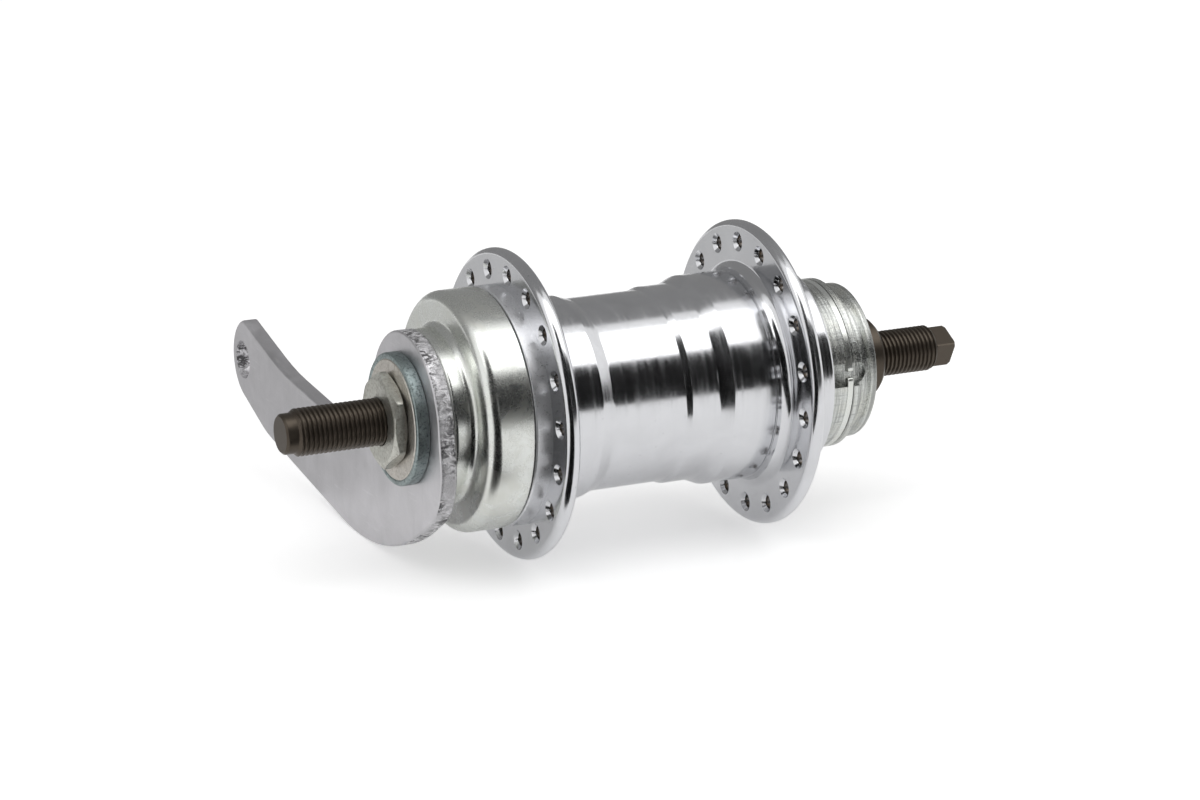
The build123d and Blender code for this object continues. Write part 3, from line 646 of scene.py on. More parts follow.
@finish
def stamped_plate(plate, look):
    """Satin zinc on rolled plate, mottled and lightly scuffed."""
    shade, gloss = look.arm, look.arm_roughness
    mottle = plate.pattern(8, detail=5, roughness=0.6, warp=0.5)
    grain = plate.pattern(0.35, detail=4, roughness=0.7)
    streaks = plate.pattern(1.8, stretch=(1, 1, 7), detail=4, roughness=0.6)
    scuffs = plate.pattern(1.1, stretch=(9, 1, 1), detail=4, roughness=0.6)
    plate.base = lit(shade, 0.84)
    plate.tint(mottle, 0.32, 0.7, shade)
    plate.tint(streaks, 0.52, 0.75, lit(shade, 0.78), most=0.35)
    plate.tint(scuffs, 0.6, 0.85, lit(shade, 1.3), most=0.5)
    plate.dull(mottle, 0.35, 0.65, gloss - 0.05, gloss + 0.05)
    plate.dull(grain, 0.4, 0.7, 0, 0.08)
    plate.relief(mottle, 0.04)
    plate.relief(grain, 0.006)


@finish
def torn_edge_glints_and_shade(edge, look):
    """The sheared edge of the plate: smooth stretches, and flakes with painted glints between tears
    with painted shade.
    """
    stretches = edge.pattern(11, detail=2, roughness=0.5)
    tears = edge.pattern(1.15, stretch=(1, 1.8, 1), detail=5, roughness=0.72, warp=1.2)
    grain = edge.pattern(0.35, detail=5, roughness=0.7)
    torn = edge.span(stretches, 0.36, 0.50)
    edge.metallic = 0.75
    edge.base = lit(look.arm, 0.9)
    # painted glints: flakes of the torn part lit to 1.4 times the arm's colour
    edge.tint(tears, 0.48, 0.43, lit(look.arm, 1.4), most=0.9, where=torn)
    # painted shade: the tears darkened to a tenth of the arm's colour, over their real bumps
    edge.tint(tears, 0.49, 0.55, lit(look.arm, 0.10), most=0.92, where=torn)
    edge.tint(grain, 0.56, 0.75, lit(look.arm, 0.4), most=0.4)
    edge.dull(grain, 0.35, 0.65, 0.24, 0.46)
    edge.relief(tears, 0.26)
    edge.relief(grain, 0.03)


@finish
def black_oxide(oxide, look):
    """Dry black oxide with brown rust in the thread and a few bright specks."""
    patches = oxide.pattern(3.2, detail=5, roughness=0.65, warp=0.5)
    grain = oxide.pattern(0.28, detail=4, roughness=0.7)
    wear = oxide.pattern(0.9, detail=4, roughness=0.65)
    oxide.metallic = 0.0
    oxide.specular = 0.14
    oxide.base = look.oxide
    oxide.tint(patches, 0.50, 0.70, look.rust, most=0.85)
    oxide.tint(wear, 0.56, 0.74, lit(look.oxide, 3.2), most=0.5)
    oxide.tint(oxide.cells(2.3), 0.075, 0.055, look.bare)
    oxide.dull(grain, 0.35, 0.7, 0.45, 0.75)
    oxide.relief(grain, 0.035)


@finish
def ground_steel(steel, look):
    """Hardened and ground steel, for races, balls and rollers."""
    lines = steel.pattern(0.2, stretch=(25, 1, 25), detail=3)
    steel.base = lit(look.steel, 0.85)
    steel.tint(steel.pattern(3, detail=4, roughness=0.6), 0.4, 0.7, look.steel)
    steel.dull(lines, 0.35, 0.7, 0.14, 0.26)
    steel.relief(lines, 0.003)


@finish
def pressed_steel(steel, look):
    """Thin pressed steel, for cages and dust rings."""
    shade = lit(look.steel, 0.8)
    clouds = steel.pattern(2.2, detail=5, roughness=0.65, warp=0.4)
    grain = steel.pattern(0.3, detail=3)
    steel.base = lit(shade, 0.7)
    steel.tint(clouds, 0.4, 0.65, shade)
    steel.dull(grain, 0.3, 0.7, 0.3, 0.48)
    steel.relief(grain, 0.008)


@finish
def hardened_steel(steel, look):
    """Case-hardened dark steel with a faint temper tint."""
    red, green, blue = lit(look.steel, 0.45)
    clouds = steel.pattern(4, detail=5, roughness=0.6, warp=0.8)
    lines = steel.pattern(0.3, stretch=(20, 1, 20), detail=3)
    steel.base = (red, green, blue)
    steel.tint(clouds, 0.4, 0.65, (red * 1.2, green, blue * 0.8))
    steel.dull(lines, 0.35, 0.7, 0.26, 0.4)
    steel.relief(lines, 0.005)


@finish
def sleeve_bronze(bronze, look):
    """Turned bronze of the brake sleeve."""
    lines = bronze.pattern(0.3, stretch=(30, 1, 30), detail=3)
    bronze.base = lit(look.bronze, 0.75)
    bronze.tint(bronze.pattern(4, detail=5, roughness=0.6), 0.4, 0.65, look.bronze)
    bronze.dull(lines, 0.35, 0.7, 0.24, 0.4)
    bronze.relief(lines, 0.006)


# Operators, one for each piece or group of like pieces

class HubOperator:
    """What all the steps share."""

    bl_options = {"REGISTER", "UNDO"}


class HUB_OT_axle(HubOperator, bpy.types.Operator):
    """Build the axle with a helical thread at both ends, and finish the fixed cone"""

    bl_idname = "hub.axle"
    bl_label = "Axle and fixed cone"

    def execute(self, context):
        sizes = context.scene.hub_axle
        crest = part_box("axle")[1].x
        left_end, right_end = left("axle"), right("axle")
        left_thread = left_end - sizes.dog_length
        right_thread = right_end + sizes.square_length
        hidden_left = right("locknut")
        hidden_right = right("fixed_cone") + sizes.thread_in_cone
        dog, chamfer, corner = sizes.dog_radius, sizes.end_chamfer, sizes.square_corner
        flank, root = 3.0, 0.2                       # steepness and flat root of the thread
        wear_depth, wear_size = 0.035 * MM, 1.3 * MM
        run_out = 0.7 / 0.75                         # slope where the right thread ends
        hair = 0.01 * MM

        def thread(radius, place, about):
            """Radius of the worn thread."""
            phase = (place / sizes.thread_pitch + about / tau) % 1.0
            ridge = min(1.0, max(0.0, abs(phase - 0.5) * flank - root))
            depth = sizes.thread_depth * (1 - ridge * ridge * (3 - 2 * ridge))
            wear = wear_depth * noise.noise(about_axle(radius, place, about) / wear_size)
            return crest - depth - max(0.0, wear)

        def surface(radius, place, about):
            """The square end with its corners cut by a cone, the thread, or the plain shank."""
            if place < right_thread - hair:
                turn = (about - sizes.square_angle) % (pi / 2)
                flat = min(sizes.square_across / 2 / cos(min(turn, pi / 2 - turn)), corner)
                end = place - right_end
                if end < chamfer:
                    flat = min(flat, corner - chamfer + end)
                return min(radius, flat), place
            if (place < hidden_right or place > hidden_left) and place <= left_thread:
                return min(radius, thread(radius, place, about)), place
            return radius, place

        def stations(start, stop, radius_at):
            """Twelve (radius, place) points for each turn of the thread."""
            count = max(1, round(abs(stop - start) / (sizes.thread_pitch / 12)))
            return [(radius_at(place), place) for place in evenly(start, stop, count)]

        shank = crest - sizes.shank_step
        section = [(0.0, left_end)]
        section += rounded([
            (dog - chamfer, left_end),
            (dog, left_end - chamfer, 0.3 * MM),
            (dog, left_thread + 5 * hair),
        ], closed=False)
        section += stations(
            left_thread, hidden_left, lambda place: min(crest, dog + left_thread - place + 2 * hair),
        )
        section += [(shank, hidden_left), (shank, hidden_right)]
        section += stations(
            hidden_right, right_thread,
            lambda place: min(crest, dog + (place - right_thread) * run_out),
        )
        section += [
            (corner, right_thread - 6 * hair),
            (corner, right_end + chamfer + hair),
            (corner, right_end + chamfer - hair),
            (corner, right_end + 12 * hair),
            (corner - 10 * hair, right_end),
            (0.0, right_end),
        ]
        piece = turned("axle_rod", section, steps=AXLE_STEPS, shape=surface)
        dress(piece, black_oxide(), "axle")
        paint(black_oxide(), "fixed_cone")
        return {"FINISHED"}


class HUB_OT_locknut(HubOperator, bpy.types.Operator):
    """Build the thin locknut with its chamfered corners"""

    bl_idname = "hub.locknut"
    bl_label = "Locknut"

    def execute(self, context):
        sizes = context.scene.hub_brake_side
        flat, bore = sizes.nut_across / 2, sizes.thread_hole
        outer, inner = left("locknut"), right("locknut")
        middle = (outer + inner) / 2
        bore_chamfer = 0.5 * MM
        edge_step = 0.10 * MM                 # how far a face stands in from the hexagon
        edge_drop = 0.12 * MM                 # how far the hexagon starts below a face
        sharpness = 34                        # of the corners, higher is sharper
        chamfer_start = flat * 0.985
        face_edge, face_fall, back_edge = flat * 0.93, flat * 0.97, flat * 0.95
        beyond = flat + 0.001 * MM            # points from here outward go to the hexagon
        wall = flat + 0.002 * MM

        def shape(radius, place, about):
            """The hexagon, with both faces turned down towards its corners."""
            if radius < flat:
                return radius, place
            faces = [max(0.0, cos(about - sizes.nut_angle - pi / 6 - k * pi / 3)) for k in range(6)]
            wide = flat / sum(face ** sharpness for face in faces) ** (1 / sharpness)
            drop = max(0.0, wide - chamfer_start) * tan(sizes.nut_chamfer) + edge_drop
            if place in (outer, inner):
                wide -= edge_step
            if place > middle:
                return wide, min(outer - drop, place)
            return wide, max(inner + drop, place)

        section = rounded([
            (bore, outer - bore_chamfer),
            (bore + bore_chamfer, outer, 0.15 * MM),
            (face_edge, outer, 0.2 * MM),
            (face_fall, outer - 0.06 * MM),
            (beyond, outer),
            (wall, outer - 0.11 * MM),
            (wall, middle + 0.1 * MM),
            (wall, middle - 0.1 * MM),
            (wall, inner + 0.11 * MM),
            (beyond, inner),
            (back_edge, inner),
            (bore, inner),
        ])
        dress(turned("hex_locknut", section, shape=shape), nut_zinc(), "locknut")
        return {"FINISHED"}


class HUB_OT_washer(HubOperator, bpy.types.Operator):
    """Build the thick washer with its rolled rim"""

    bl_idname = "hub.washer"
    bl_label = "Arm washer"

    def execute(self, context):
        sizes = context.scene.hub_brake_side
        outer, inner = left("arm_washer"), right("arm_washer")
        rim, bore, groove = reach("arm_washer"), sizes.thread_hole, sizes.washer_groove
        rim_face = outer - 0.05 * MM
        groove_depth, groove_inside, groove_outside = 0.16 * MM, 0.22 * MM, 0.25 * MM
        swell_depth, swell_size = 0.05 * MM, 2.2 * MM
        section = rounded([
            (bore, outer),
            (groove - groove_inside, outer, 0.1 * MM),
            (groove, outer - groove_depth),
            (groove + groove_outside, rim_face, 0.1 * MM),
            (rim, rim_face, 0.5 * MM),
            (rim, (outer + inner) / 2),
            (rim, inner, 0.4 * MM),
            (bore, inner),
        ])

        def shape(radius, place, about):
            """A slightly uneven rim."""
            if radius <= groove - 2 * groove_outside:
                return radius, place
            swell = swell_depth * noise.noise(about_axle(radius, place, about) / swell_size)
            return radius + min(0.0, swell), place

        piece = turned("thick_washer", section, shape=shape)
        dress(piece, washer_face_zinc(), "arm_washer")
        second_finish(
            piece, washer_rim_zinc(), lambda spot, normal: hypot(spot.x, spot.z) > groove,
        )
        return {"FINISHED"}


class HUB_OT_arm(HubOperator, bpy.types.Operator):
    """Build the stamped brake arm with rounded faces and a torn edge"""

    bl_idname = "hub.arm"
    bl_label = "Brake arm"

    def outline(self, sizes):
        """Closely spaced points of the outline, along and across the arm from the axle."""
        big = sizes.arm_big_end
        nose_centre = Vector((90.1, -0.1)) * MM
        nose_round = 1.2 * MM
        gap = 0.45 * MM
        heel = (-big, -16.2 * MM, 15 * MM)
        belly = (15.9 * MM, -33.2 * MM, 62 * MM)
        throat = (81.6 * MM, -14.7 * MM, 30 * MM)
        neck = (69.0 * MM, 0.45 * MM, 75 * MM)
        hollow = (26.0 * MM, -8.3 * MM, 12 * MM)
        big_arc = circle_points(big, radians(32.7), pi, step=PLATE_STEP)
        nose_arc = circle_points(
            sizes.arm_nose, radians(-62.4), radians(84), nose_centre, step=PLATE_STEP,
        )
        nose_arc[-1] += (nose_round,)
        corners = big_arc + [heel, belly, throat] + nose_arc + [neck, hollow]
        points = rounded(corners, step=PLATE_STEP)
        return spaced([p for i, p in enumerate(points) if p != points[i - 1]], gap)

    def execute(self, context):
        sizes = context.scene.hub_brake_side
        outer, inner = left("brake_arm"), right("brake_arm")
        thickness = outer - inner
        turn, edge = sizes.arm_angle, sizes.arm_edge
        torn_part = 14 * MM                   # how far along the arm its edge is torn deeply
        bite_depth, bite_size, bite_height = 0.06 * MM, 1.1 * MM, 0.7
        chip_depth, chip_size = 0.12 * MM, 0.8 * MM
        increment, lacunarity, octaves = 0.6, 2.0, 3
        calm = 0.3                            # share of the bites that the rest of it has
        fewest = 0.2                          # added to the chips, for more bites
        lip = 0.02 * MM                       # how far chips may stand into a hole
        break_wide, break_step, break_deep = 0.25 * MM, 0.06 * MM, 0.1 * MM

        def on_plate(u, v, place):
            """A point of the plate, from its place along and across the arm."""
            return (u * cos(turn) - v * sin(turn), place, u * sin(turn) + v * cos(turn))

        def chips(x, y, z, size):
            """Uneven noise for torn metal."""
            return noise.fractal(Vector((x, y, z)) / size, increment, lacunarity, octaves)

        outline = self.outline(sizes)
        inward = []
        for before, after in zip(outline[-1:] + outline[:-1], outline[1:] + outline[:1]):
            along = after - before
            inward.append(Vector((-along.y, along.x)).normalized())

        rolls = [(edge * (1 - sin(roll)), edge * (1 - cos(roll))) for roll in evenly(0, pi / 2, 5)]
        wall = evenly(outer - edge, inner + edge, 9)[1:-1]
        levels = [(inset, outer - drop) for inset, drop in rolls]
        levels += [(0.0, place) for place in wall]
        levels += [(inset, inner + drop) for inset, drop in reversed(rolls)]
        rings = []
        for inset, place in levels:
            ring = []
            for point, normal in zip(outline, inward):
                x, y, z = on_plate(*(point + normal * inset), place)
                torn = 1.0 if point.x < torn_part else calm
                depth = min(outer - place, place - inner) / (0.5 * thickness)
                rough = fewest + chips(x, y * bite_height, z, bite_size)
                bite = max(0.0, bite_depth * torn * depth * rough)
                ring.append(on_plate(*(point + normal * (inset + bite)), place))
            rings.append(ring)
        bm = bmesh.new()
        rings = skin(bm, rings)
        borders = {outer: [rings[0]], inner: [rings[-1]]}

        flat_angle = atan2(sizes.stub_flat, sqrt(sizes.stub_radius ** 2 - sizes.stub_flat ** 2))
        stub = []
        for side in (0, pi):
            stub += circle_points(
                sizes.stub_radius, side - flat_angle, side + flat_angle, step=PLATE_STEP,
            )
        hole_centre = Vector((sizes.arm_hole_reach, 0))
        hole = circle_points(sizes.arm_hole_radius, 0, tau, hole_centre, step=2 * PLATE_STEP)[:-1]
        rows = [(break_wide, outer), (break_step, outer - break_deep)]
        rows += [(0.0, place) for place in evenly(outer, inner, 10)[1:-1]]
        rows += [(break_step, inner + break_deep), (break_wide, inner)]
        for points, centre, torn in ((stub, Vector((0, 0)), 0.0), (hole, hole_centre, 1.0)):
            bore = []
            for widen, place in rows:
                ring = []
                for point in points:
                    away = (Vector(point) - centre).normalized()
                    chip = chip_depth * torn * chips(point[0], place, point[1], chip_size)
                    inside = chip if outer > place > inner else 0.0
                    spot = Vector(point) + away * (widen * torn + max(-lip, inside))
                    ring.append(on_plate(*spot, place))
                bore.append(ring)
            bore = skin(bm, bore)
            borders[outer].append(bore[0])
            borders[inner].append(bore[-1])
        for loops in borders.values():
            edges = [
                bm.edges.get(pair) for loop in loops for pair in zip(loop, loop[1:] + loop[:1])
            ]
            bmesh.ops.triangle_fill(bm, use_beauty=True, edges=edges)

        piece = new_piece("stamped_arm", bm)
        dress(piece, stamped_plate(), "brake_arm")
        hole_x, _, hole_z = on_plate(*hole_centre, 0)

        def sheared(spot, normal):
            """The torn part of the edge: round the big end, along the heel and in the clip hole."""
            from_axle = hypot(spot.x, spot.z) / sizes.arm_big_end
            from_hole = hypot(spot.x - hole_x, spot.z - hole_z) / sizes.arm_hole_radius
            at_big_end = 0.9 < from_axle < 1.9 and spot.x < 0.6 * sizes.arm_big_end
            return abs(normal.y) < WALL_LEAN and (at_big_end or from_hole < 1.1)

        # the torn part of the edge gets painted glints on its flakes and painted shade in its tears
        second_finish(piece, torn_edge_glints_and_shade(), sheared)
        return {"FINISHED"}


class HUB_OT_cap(HubOperator, bpy.types.Operator):
    """Build the stamped dust cap of the brake side"""

    bl_idname = "hub.cap"
    bl_label = "Left dust cap"

    def execute(self, context):
        sizes = context.scene.hub_brake_side
        outer, inner = left("left_dust_cap"), right("left_dust_cap")
        drum, neck, wall = reach("left_dust_cap"), sizes.cap_neck, sizes.cap_wall
        shoulder = inner + sizes.cap_drum_length
        section = rounded([
            (sizes.stub_radius, outer),
            (neck, outer, 0.8 * MM),
            (neck, shoulder, 1.6 * MM),
            (drum, shoulder, 2.4 * MM),
            (drum, inner, 0.18 * MM),
            (drum - wall, inner, 0.1 * MM),
            (drum - wall, shoulder - wall, 1.2 * MM),
            (neck - wall, shoulder - wall, 2.8 * MM),
            (neck - wall, outer - wall),
            (sizes.stub_radius, outer - wall),
        ], step=FINE_STEP)
        dress(turned("dust_cap", section), zinc_plate(), "left_dust_cap")
        return {"FINISHED"}


# Corners of the double seam: 1 where deep, and the distance from the joint in millimetres
SEAM_CORNERS = ((0, 0.50), (1, 0.43), (1, 0.28), (0, 0.20), (0, 0.06), (1, 0))
SEAM_LIP = 0.06 * MM
SEAM_ROUND = 0.05 * MM


class HUB_OT_barrel(HubOperator, bpy.types.Operator):
    """Build the stepped barrel with the band beside the left flange"""

    bl_idname = "hub.barrel"
    bl_label = "Hub barrel"

    def execute(self, context):
        sizes = context.scene.hub_shell
        band, band_left, end = reach("hub_barrel"), left("hub_barrel"), right("hub_barrel")
        flange_left, flange_right = left("left_flange"), right("left_flange")
        seam = left("right_flange")
        cup_right = right("left_ball_cup")
        double_seam = [
            (sizes.barrel_right - deep * sizes.seam_depth, seam + away * MM, (1 - deep) * SEAM_ROUND)
            for deep, away in SEAM_CORNERS
        ]
        section = rounded([
            (sizes.cup_seat, band_left),
            (band, band_left, 0.4 * MM),
            (band, flange_left),
            (sizes.flange_seat, flange_left),
            (sizes.flange_seat, flange_right),
            (sizes.barrel_left, flange_right, 2.5 * MM),
            (sizes.barrel_left, sizes.left_step_end, 0.7 * MM),
            (sizes.barrel_waist, sizes.waist_start, 2 * MM),
            (sizes.barrel_waist, sizes.waist_end, 1 * MM),
            (sizes.barrel_middle, sizes.middle_start, 0.5 * MM),
            (sizes.barrel_middle, sizes.middle_end, 2 * MM),
            (sizes.barrel_right, sizes.right_step_start, 1 * MM),
            *double_seam,
            (sizes.spigot, seam),
            (sizes.spigot, end),
            (sizes.roller_track, end),
            (sizes.roller_track, sizes.brake_bore_end),
            (sizes.brake_bore, sizes.brake_bore_end),
            (sizes.brake_bore, cup_right),
            (sizes.cup_seat, cup_right),
        ], step=FINE_STEP)
        piece = turned("shell_barrel", section)

        def on_band(spot, normal):
            """Whether a face is on the band outside the left flange."""
            return spot.y > flange_left and hypot(spot.x, spot.z) > sizes.cup_seat

        dress(piece, chrome_plate(), "hub_barrel")
        second_finish(piece, satin_chrome(), on_band)
        return {"FINISHED"}


class HUB_OT_flanges(HubOperator, bpy.types.Operator):
    """Build both flanges and drill their spoke holes"""

    bl_idname = "hub.flanges"
    bl_label = "Spoke flanges"

    def build(self, name, node, corners, face_left, face_right, first_angle):
        """Turn a flange, cut its ring of countersunk holes and chrome it, with painted shade and
        grime in the holes.
        """
        sizes = bpy.context.scene.hub_shell
        hole, sink = sizes.spoke_hole, sizes.spoke_countersink
        past = 0.4 * MM
        flange = turned(name, rounded(corners, step=FINE_STEP))
        profile = rounded([
            (hole + sink + past, face_left + past),
            (hole, face_left - sink, 0.35 * MM),
            (hole, face_right + sink, 0.35 * MM),
            (hole + sink + past, face_right - past),
        ], closed=False, step=radians(10))
        turns = evenly(0, tau, DRILL_STEPS)[:-1]
        bm = bmesh.new()
        for about in evenly(first_angle, first_angle + tau, sizes.spoke_count)[:-1]:
            centre = about_axle(sizes.spoke_circle, 0, about)
            rings = [
                [centre + about_axle(radius, place, turn) for turn in turns]
                for radius, place in profile
            ]
            skin(bm, rings, capped=True)
        cut(flange, new_piece("drills", bm))

        def in_hole(spot, normal):
            """Whether a face is the straight wall of a hole."""
            off_circle = abs(hypot(spot.x, spot.z) - sizes.spoke_circle)
            return abs(normal.y) < WALL_LEAN and off_circle < 1.2 * hole

        dress(flange, chrome_plate(), node)
        # the hole walls get chrome darkened as painted shade, with grime stains
        second_finish(flange, hole_shade_and_grime_chrome(), in_hole)

    def execute(self, context):
        sizes = context.scene.hub_shell
        radius, rim_round = reach("left_flange"), sizes.flange_round
        face_left, face_right = left("left_flange"), right("left_flange")
        thickness = face_left - face_right
        corners = [
            (sizes.flange_seat, face_left),
            (radius, face_left, rim_round),
            (radius, face_right, rim_round),
            (sizes.flange_seat, face_right),
        ]
        self.build(
            "flange_left", "left_flange", corners, face_left, face_right, sizes.left_spoke_angle,
        )

        seam = left("right_flange")
        face_right = right("right_flange")
        face_left = face_right + thickness
        corners = [
            (sizes.spigot, seam),
            (sizes.barrel_right - sizes.seam_depth, seam),
            (sizes.barrel_right, seam - SEAM_LIP, SEAM_ROUND),
            (sizes.barrel_right, face_left, 2.2 * MM),
            (sizes.boss_foot, face_left),
            (radius, face_left, rim_round),
            (radius, face_right, rim_round),
            (sizes.spigot, face_right),
        ]
        self.build(
            "flange_right", "right_flange", corners, face_left, face_right, sizes.right_spoke_angle,
        )
        return {"FINISHED"}


class HUB_OT_collar(HubOperator, bpy.types.Operator):
    """Finish the collar beside the right flange, the left ball cup and the dust ring"""

    bl_idname = "hub.collar"
    bl_label = "Collar and ball cups"

    def execute(self, context):
        paint(chrome_plate(), "right_ball_cup")
        paint(ground_steel(), "left_ball_cup")
        paint(pressed_steel(), "shell_dust_ring")
        return {"FINISHED"}


class HUB_OT_driver(HubOperator, bpy.types.Operator):
    """Finish the driver and its dust cap, and build the snap ring"""

    bl_idname = "hub.driver"
    bl_label = "Driver and snap ring"

    def execute(self, context):
        sizes = context.scene.hub_driver
        paint(turned_zinc(), "driver")
        paint(pressed_steel(), "driver_dust_cap")

        ring_left, ring_right, outer = left("snap_ring"), right("snap_ring"), reach("snap_ring")
        inner = outer - sizes.ring_depth
        soft = 0.18 * MM
        section = rounded([
            (inner, ring_left, soft),
            (outer, ring_left, soft),
            (outer, ring_right, soft),
            (inner, ring_right, soft),
        ], step=radians(22))
        middle = Vector(((inner + outer) / 2, (ring_left + ring_right) / 2))
        half = sizes.ring_gap / 2
        end_round = radians(0.9)
        ends = [(half - end_round, 0.55), (half - end_round / 2, 0.88)]
        places = ends + [(turn, 1.0) for turn in evenly(half, tau - half, 180)]
        places += [(tau - turn, size) for turn, size in reversed(ends)]
        rings = []
        for turn, size in places:
            points = [middle + (Vector(point) - middle) * size for point in section]
            rings.append([about_axle(*point, sizes.slot_angle + turn) for point in points])
        bm = bmesh.new()
        skin(bm, rings, capped=True)
        dress(new_piece("spring_ring", bm), zinc_plate(), "snap_ring")
        return {"FINISHED"}


class HUB_OT_bearings(HubOperator, bpy.types.Operator):
    """Finish the three rows of balls and their cages"""

    bl_idname = "hub.bearings"
    bl_label = "Ball bearings"

    def execute(self, context):
        for row in ("left", "right", "cone"):
            paint(ground_steel(), f"{row}_balls")
            paint(pressed_steel(), f"{row}_ball_cage")
        return {"FINISHED"}


class HUB_OT_clutch(HubOperator, bpy.types.Operator):
    """Finish the roller cage and its rollers"""

    bl_idname = "hub.clutch"
    bl_label = "Roller clutch"

    def execute(self, context):
        rollers = [node for node in frame["nodes"] if node.startswith("drive_roller_")]
        paint(ground_steel(), *rollers)
        paint(pressed_steel(), "roller_cage")
        return {"FINISHED"}


class HUB_OT_brake(HubOperator, bpy.types.Operator):
    """Finish the lever cone, the brake sleeve, the brake cone and its drag ring"""

    bl_idname = "hub.brake"
    bl_label = "Brake"

    def execute(self, context):
        paint(hardened_steel(), "lever_cone", "brake_cone")
        paint(sleeve_bronze(), "brake_sleeve")
        paint(pressed_steel(), "drag_ring")
        return {"FINISHED"}


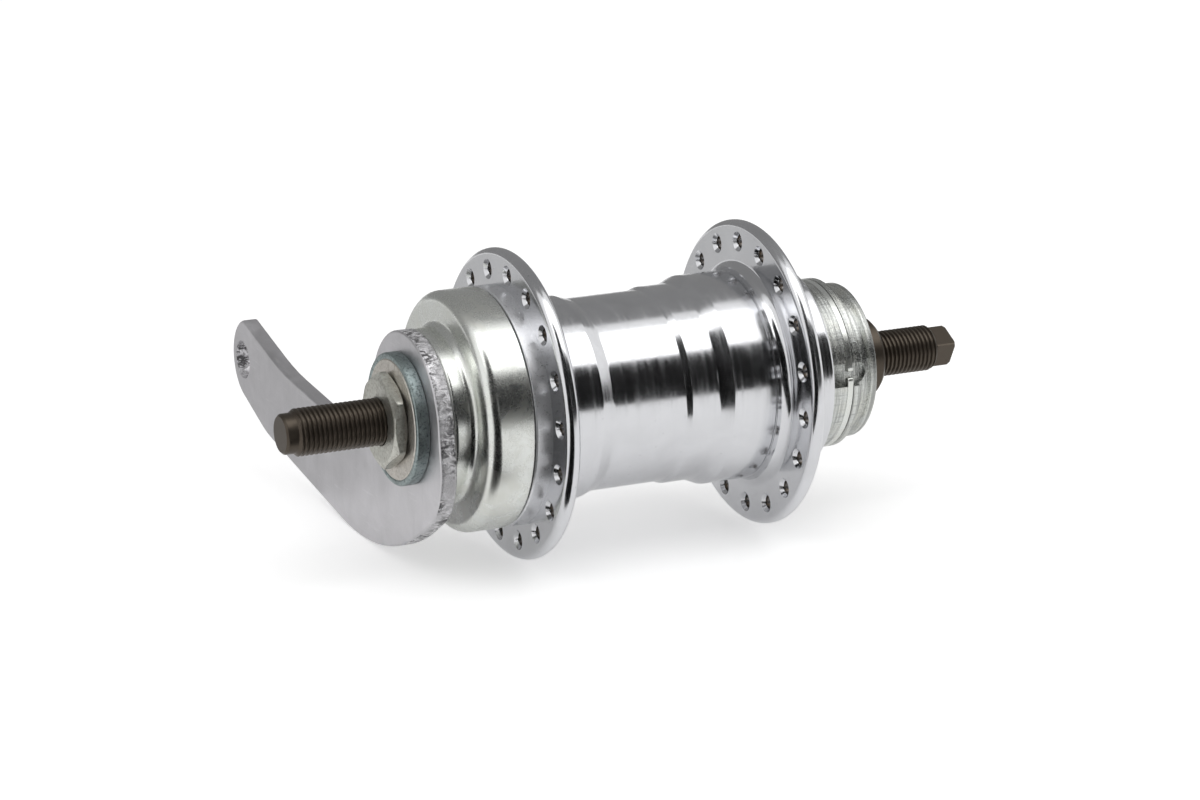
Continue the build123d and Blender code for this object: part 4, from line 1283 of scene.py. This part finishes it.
class HUB_OT_stage(HubOperator, bpy.types.Operator):
    """Set the floor, the panels, the lamps, the world and the camera"""

    bl_idname = "hub.stage"
    bl_label = "Studio"

    def floor(self, studio):
        """A wide pale floor under the object that keeps its shadow."""
        squares, floor_reach = 24, 6.0
        bm = bmesh.new()
        bmesh.ops.create_grid(bm, x_segments=squares, y_segments=squares, size=floor_reach)
        for vert in bm.verts:
            vert.co.z = CAD_BOX[0].z
        ground = new_piece("studio_floor", bm)
        material = bpy.data.materials.new("studio_floor")
        material.use_nodes = True
        tree = material.node_tree
        seen = add_node(tree, "LightPath").outputs["Is Camera Ray"]
        lift = {0: seen, 1: studio.floor_lift, 2: studio.floor_glow}
        lifted = add_node(tree, "Math", lift, operation="MULTIPLY_ADD").outputs[0]
        shader = tree.nodes["Principled BSDF"]
        for name, value in (
            ("Base Color", [studio.floor_white] * 3),
            ("Roughness", 0.9),
            ("Specular IOR Level", 0.1),
            ("Emission Color", (1, 1, 1)),
            ("Emission Strength", lifted),
        ):
            put(tree, value, shader.inputs[name])
        ground.data.materials.append(material)

    def panel(self, name, brightness, azimuth, low, high, width, distance, about=0.0):
        """A curved studio panel that only reflections see, centred on a place of the axle.

        Its low and high edges and its width are in degrees. It lies on the floor where it
        would reach below it.
        """
        lowest = CAD_BOX[0].z + 0.5 * MM
        forward = Vector((cos(azimuth), sin(azimuth), 0))
        across = Vector((-sin(azimuth), cos(azimuth), 0)) * tan(radians(width) / 2)
        rings = []
        rows, columns = 24, 16
        for rise in evenly(radians(low), radians(high), rows):
            shift = Vector((0, about, max(lowest, distance * sin(rise))))
            rings.append([
                (forward + across * side) * distance * cos(rise) + shift
                for side in evenly(-1, 1, columns)
            ])
        bm = bmesh.new()
        skin(bm, rings, closed_rings=False)
        sheet = new_piece(name, bm)
        material = bpy.data.materials.new(name)
        material.use_nodes = True
        tree = material.node_tree
        tree.nodes.remove(tree.nodes["Principled BSDF"])
        glow = add_node(tree, "Emission", {"Color": [brightness] * 3})
        put(tree, glow.outputs[0], tree.nodes["Material Output"].inputs["Surface"])
        sheet.data.materials.append(material)
        sheet.visible_camera = False
        sheet.visible_diffuse = False
        sheet.visible_shadow = False
        sheet.visible_transmission = False

    def lamp(self, name, brightness, place, width, height):
        """A soft rectangular lamp that faces the object, as bright as a surface of that value."""
        data = bpy.data.lights.new(name, "AREA")
        data.shape = "RECTANGLE"
        data.size = width
        data.size_y = height
        data.energy = brightness * pi * width * height
        lamp = bpy.data.objects.new(name, data)
        bpy.context.scene.collection.objects.link(lamp)
        lamp.location = place
        lamp.rotation_euler = (-Vector(place)).to_track_quat("-Z", "Y").to_euler()

    def world(self, scene):
        """White behind the object and in its reflections, and a softer light from all sides."""
        world = bpy.data.worlds.new("studio_world")
        world.use_nodes = True
        scene.world = world
        tree = world.node_tree
        rays = add_node(tree, "LightPath").outputs
        direct = rays["Is Camera Ray"]
        for name in ("Is Glossy Ray", "Is Transmission Ray"):
            larger = add_node(tree, "Math", {0: direct, 1: rays[name]}, operation="MAXIMUM")
            direct = larger.outputs[0]
        span = {"Value": direct, "To Min": scene.hub_studio.world_light, "To Max": 1.0}
        strength = add_node(tree, "MapRange", span).outputs["Result"]
        background = tree.nodes["Background"]
        put(tree, (1, 1, 1), background.inputs["Color"])
        put(tree, strength, background.inputs["Strength"])

    def camera(self, scene):
        """The camera of the main view."""
        studio = scene.hub_studio
        data = bpy.data.cameras.new("camera")
        data.lens = studio.focal_length
        data.sensor_width = 36
        data.clip_start = 0.01
        camera = bpy.data.objects.new("camera", data)
        scene.collection.objects.link(camera)
        aim = Vector(studio.camera_aim).normalized().to_track_quat("-Z", "Y")
        camera.matrix_world = Matrix.Translation(studio.camera_place) @ aim.to_matrix().to_4x4()
        scene.camera = camera

    def execute(self, context):
        scene = context.scene
        studio = scene.hub_studio
        self.floor(studio)
        toward = atan2(studio.camera_place[1], studio.camera_place[0])
        back = pi
        self.panel("dark_panel", studio.dark_panel, back, low=-5, high=49, width=130, distance=1.6)
        self.panel("grey_panel", studio.grey_panel, back, low=92, high=186, width=130, distance=1.7)
        self.panel("front_card", studio.front_card, toward, low=-86, high=66, width=60, distance=0.5,
                   about=left("left_flange"))
        self.panel("floor_card", studio.floor_card, pi - toward, low=-82, high=-5, width=60,
                   distance=0.5)
        self.lamp("overhead_softbox", studio.softbox_light, place=(-0.40, 0.0, 1.10),
                  width=2.4, height=0.85)
        self.lamp("side_softbox", studio.window_light, place=(-1.25, 0.02, 0.36),
                  width=0.10, height=0.26)
        self.world(scene)
        self.camera(scene)
        scene.view_settings.view_transform = "Standard"
        return {"FINISHED"}


OPERATORS = (
    HUB_OT_axle,
    HUB_OT_locknut,
    HUB_OT_washer,
    HUB_OT_arm,
    HUB_OT_cap,
    HUB_OT_barrel,
    HUB_OT_flanges,
    HUB_OT_collar,
    HUB_OT_driver,
    HUB_OT_bearings,
    HUB_OT_clutch,
    HUB_OT_brake,
    HUB_OT_stage,
)


class HUB_PT_steps(bpy.types.Panel):
    """The steps that build the hub, and their settings"""

    bl_idname = "HUB_PT_steps"
    bl_label = "Coaster Brake Hub"
    bl_space_type = "VIEW_3D"
    bl_region_type = "UI"
    bl_category = "Hub"

    def draw(self, context):
        for operator in OPERATORS:
            self.layout.operator(operator.bl_idname)
        for name in SETTINGS:
            group = getattr(context.scene, name)
            box = self.layout.box()
            box.label(text=name.replace("_", " ").capitalize())
            for setting in group.bl_rna.properties.keys():
                if setting not in ("rna_type", "name"):
                    box.prop(group, setting)


def register():
    """Register the settings, the steps and the panel."""
    for name, group in SETTINGS.items():
        bpy.utils.register_class(group)
        setattr(bpy.types.Scene, name, bpy.props.PointerProperty(type=group))
    for operator in OPERATORS:
        bpy.utils.register_class(operator)
    bpy.utils.register_class(HUB_PT_steps)


def unregister():
    """Take the panel, the steps and the settings away again."""
    bpy.utils.unregister_class(HUB_PT_steps)
    for operator in reversed(OPERATORS):
        bpy.utils.unregister_class(operator)
    for name, group in SETTINGS.items():
        delattr(bpy.types.Scene, name)
        bpy.utils.unregister_class(group)


def main():
    """Build every piece and the studio."""
    register()
    for operator in OPERATORS:
        step = operator.bl_idname.removeprefix("hub.")
        getattr(bpy.ops.hub, step)()


if __name__ == "__main__":
    main()
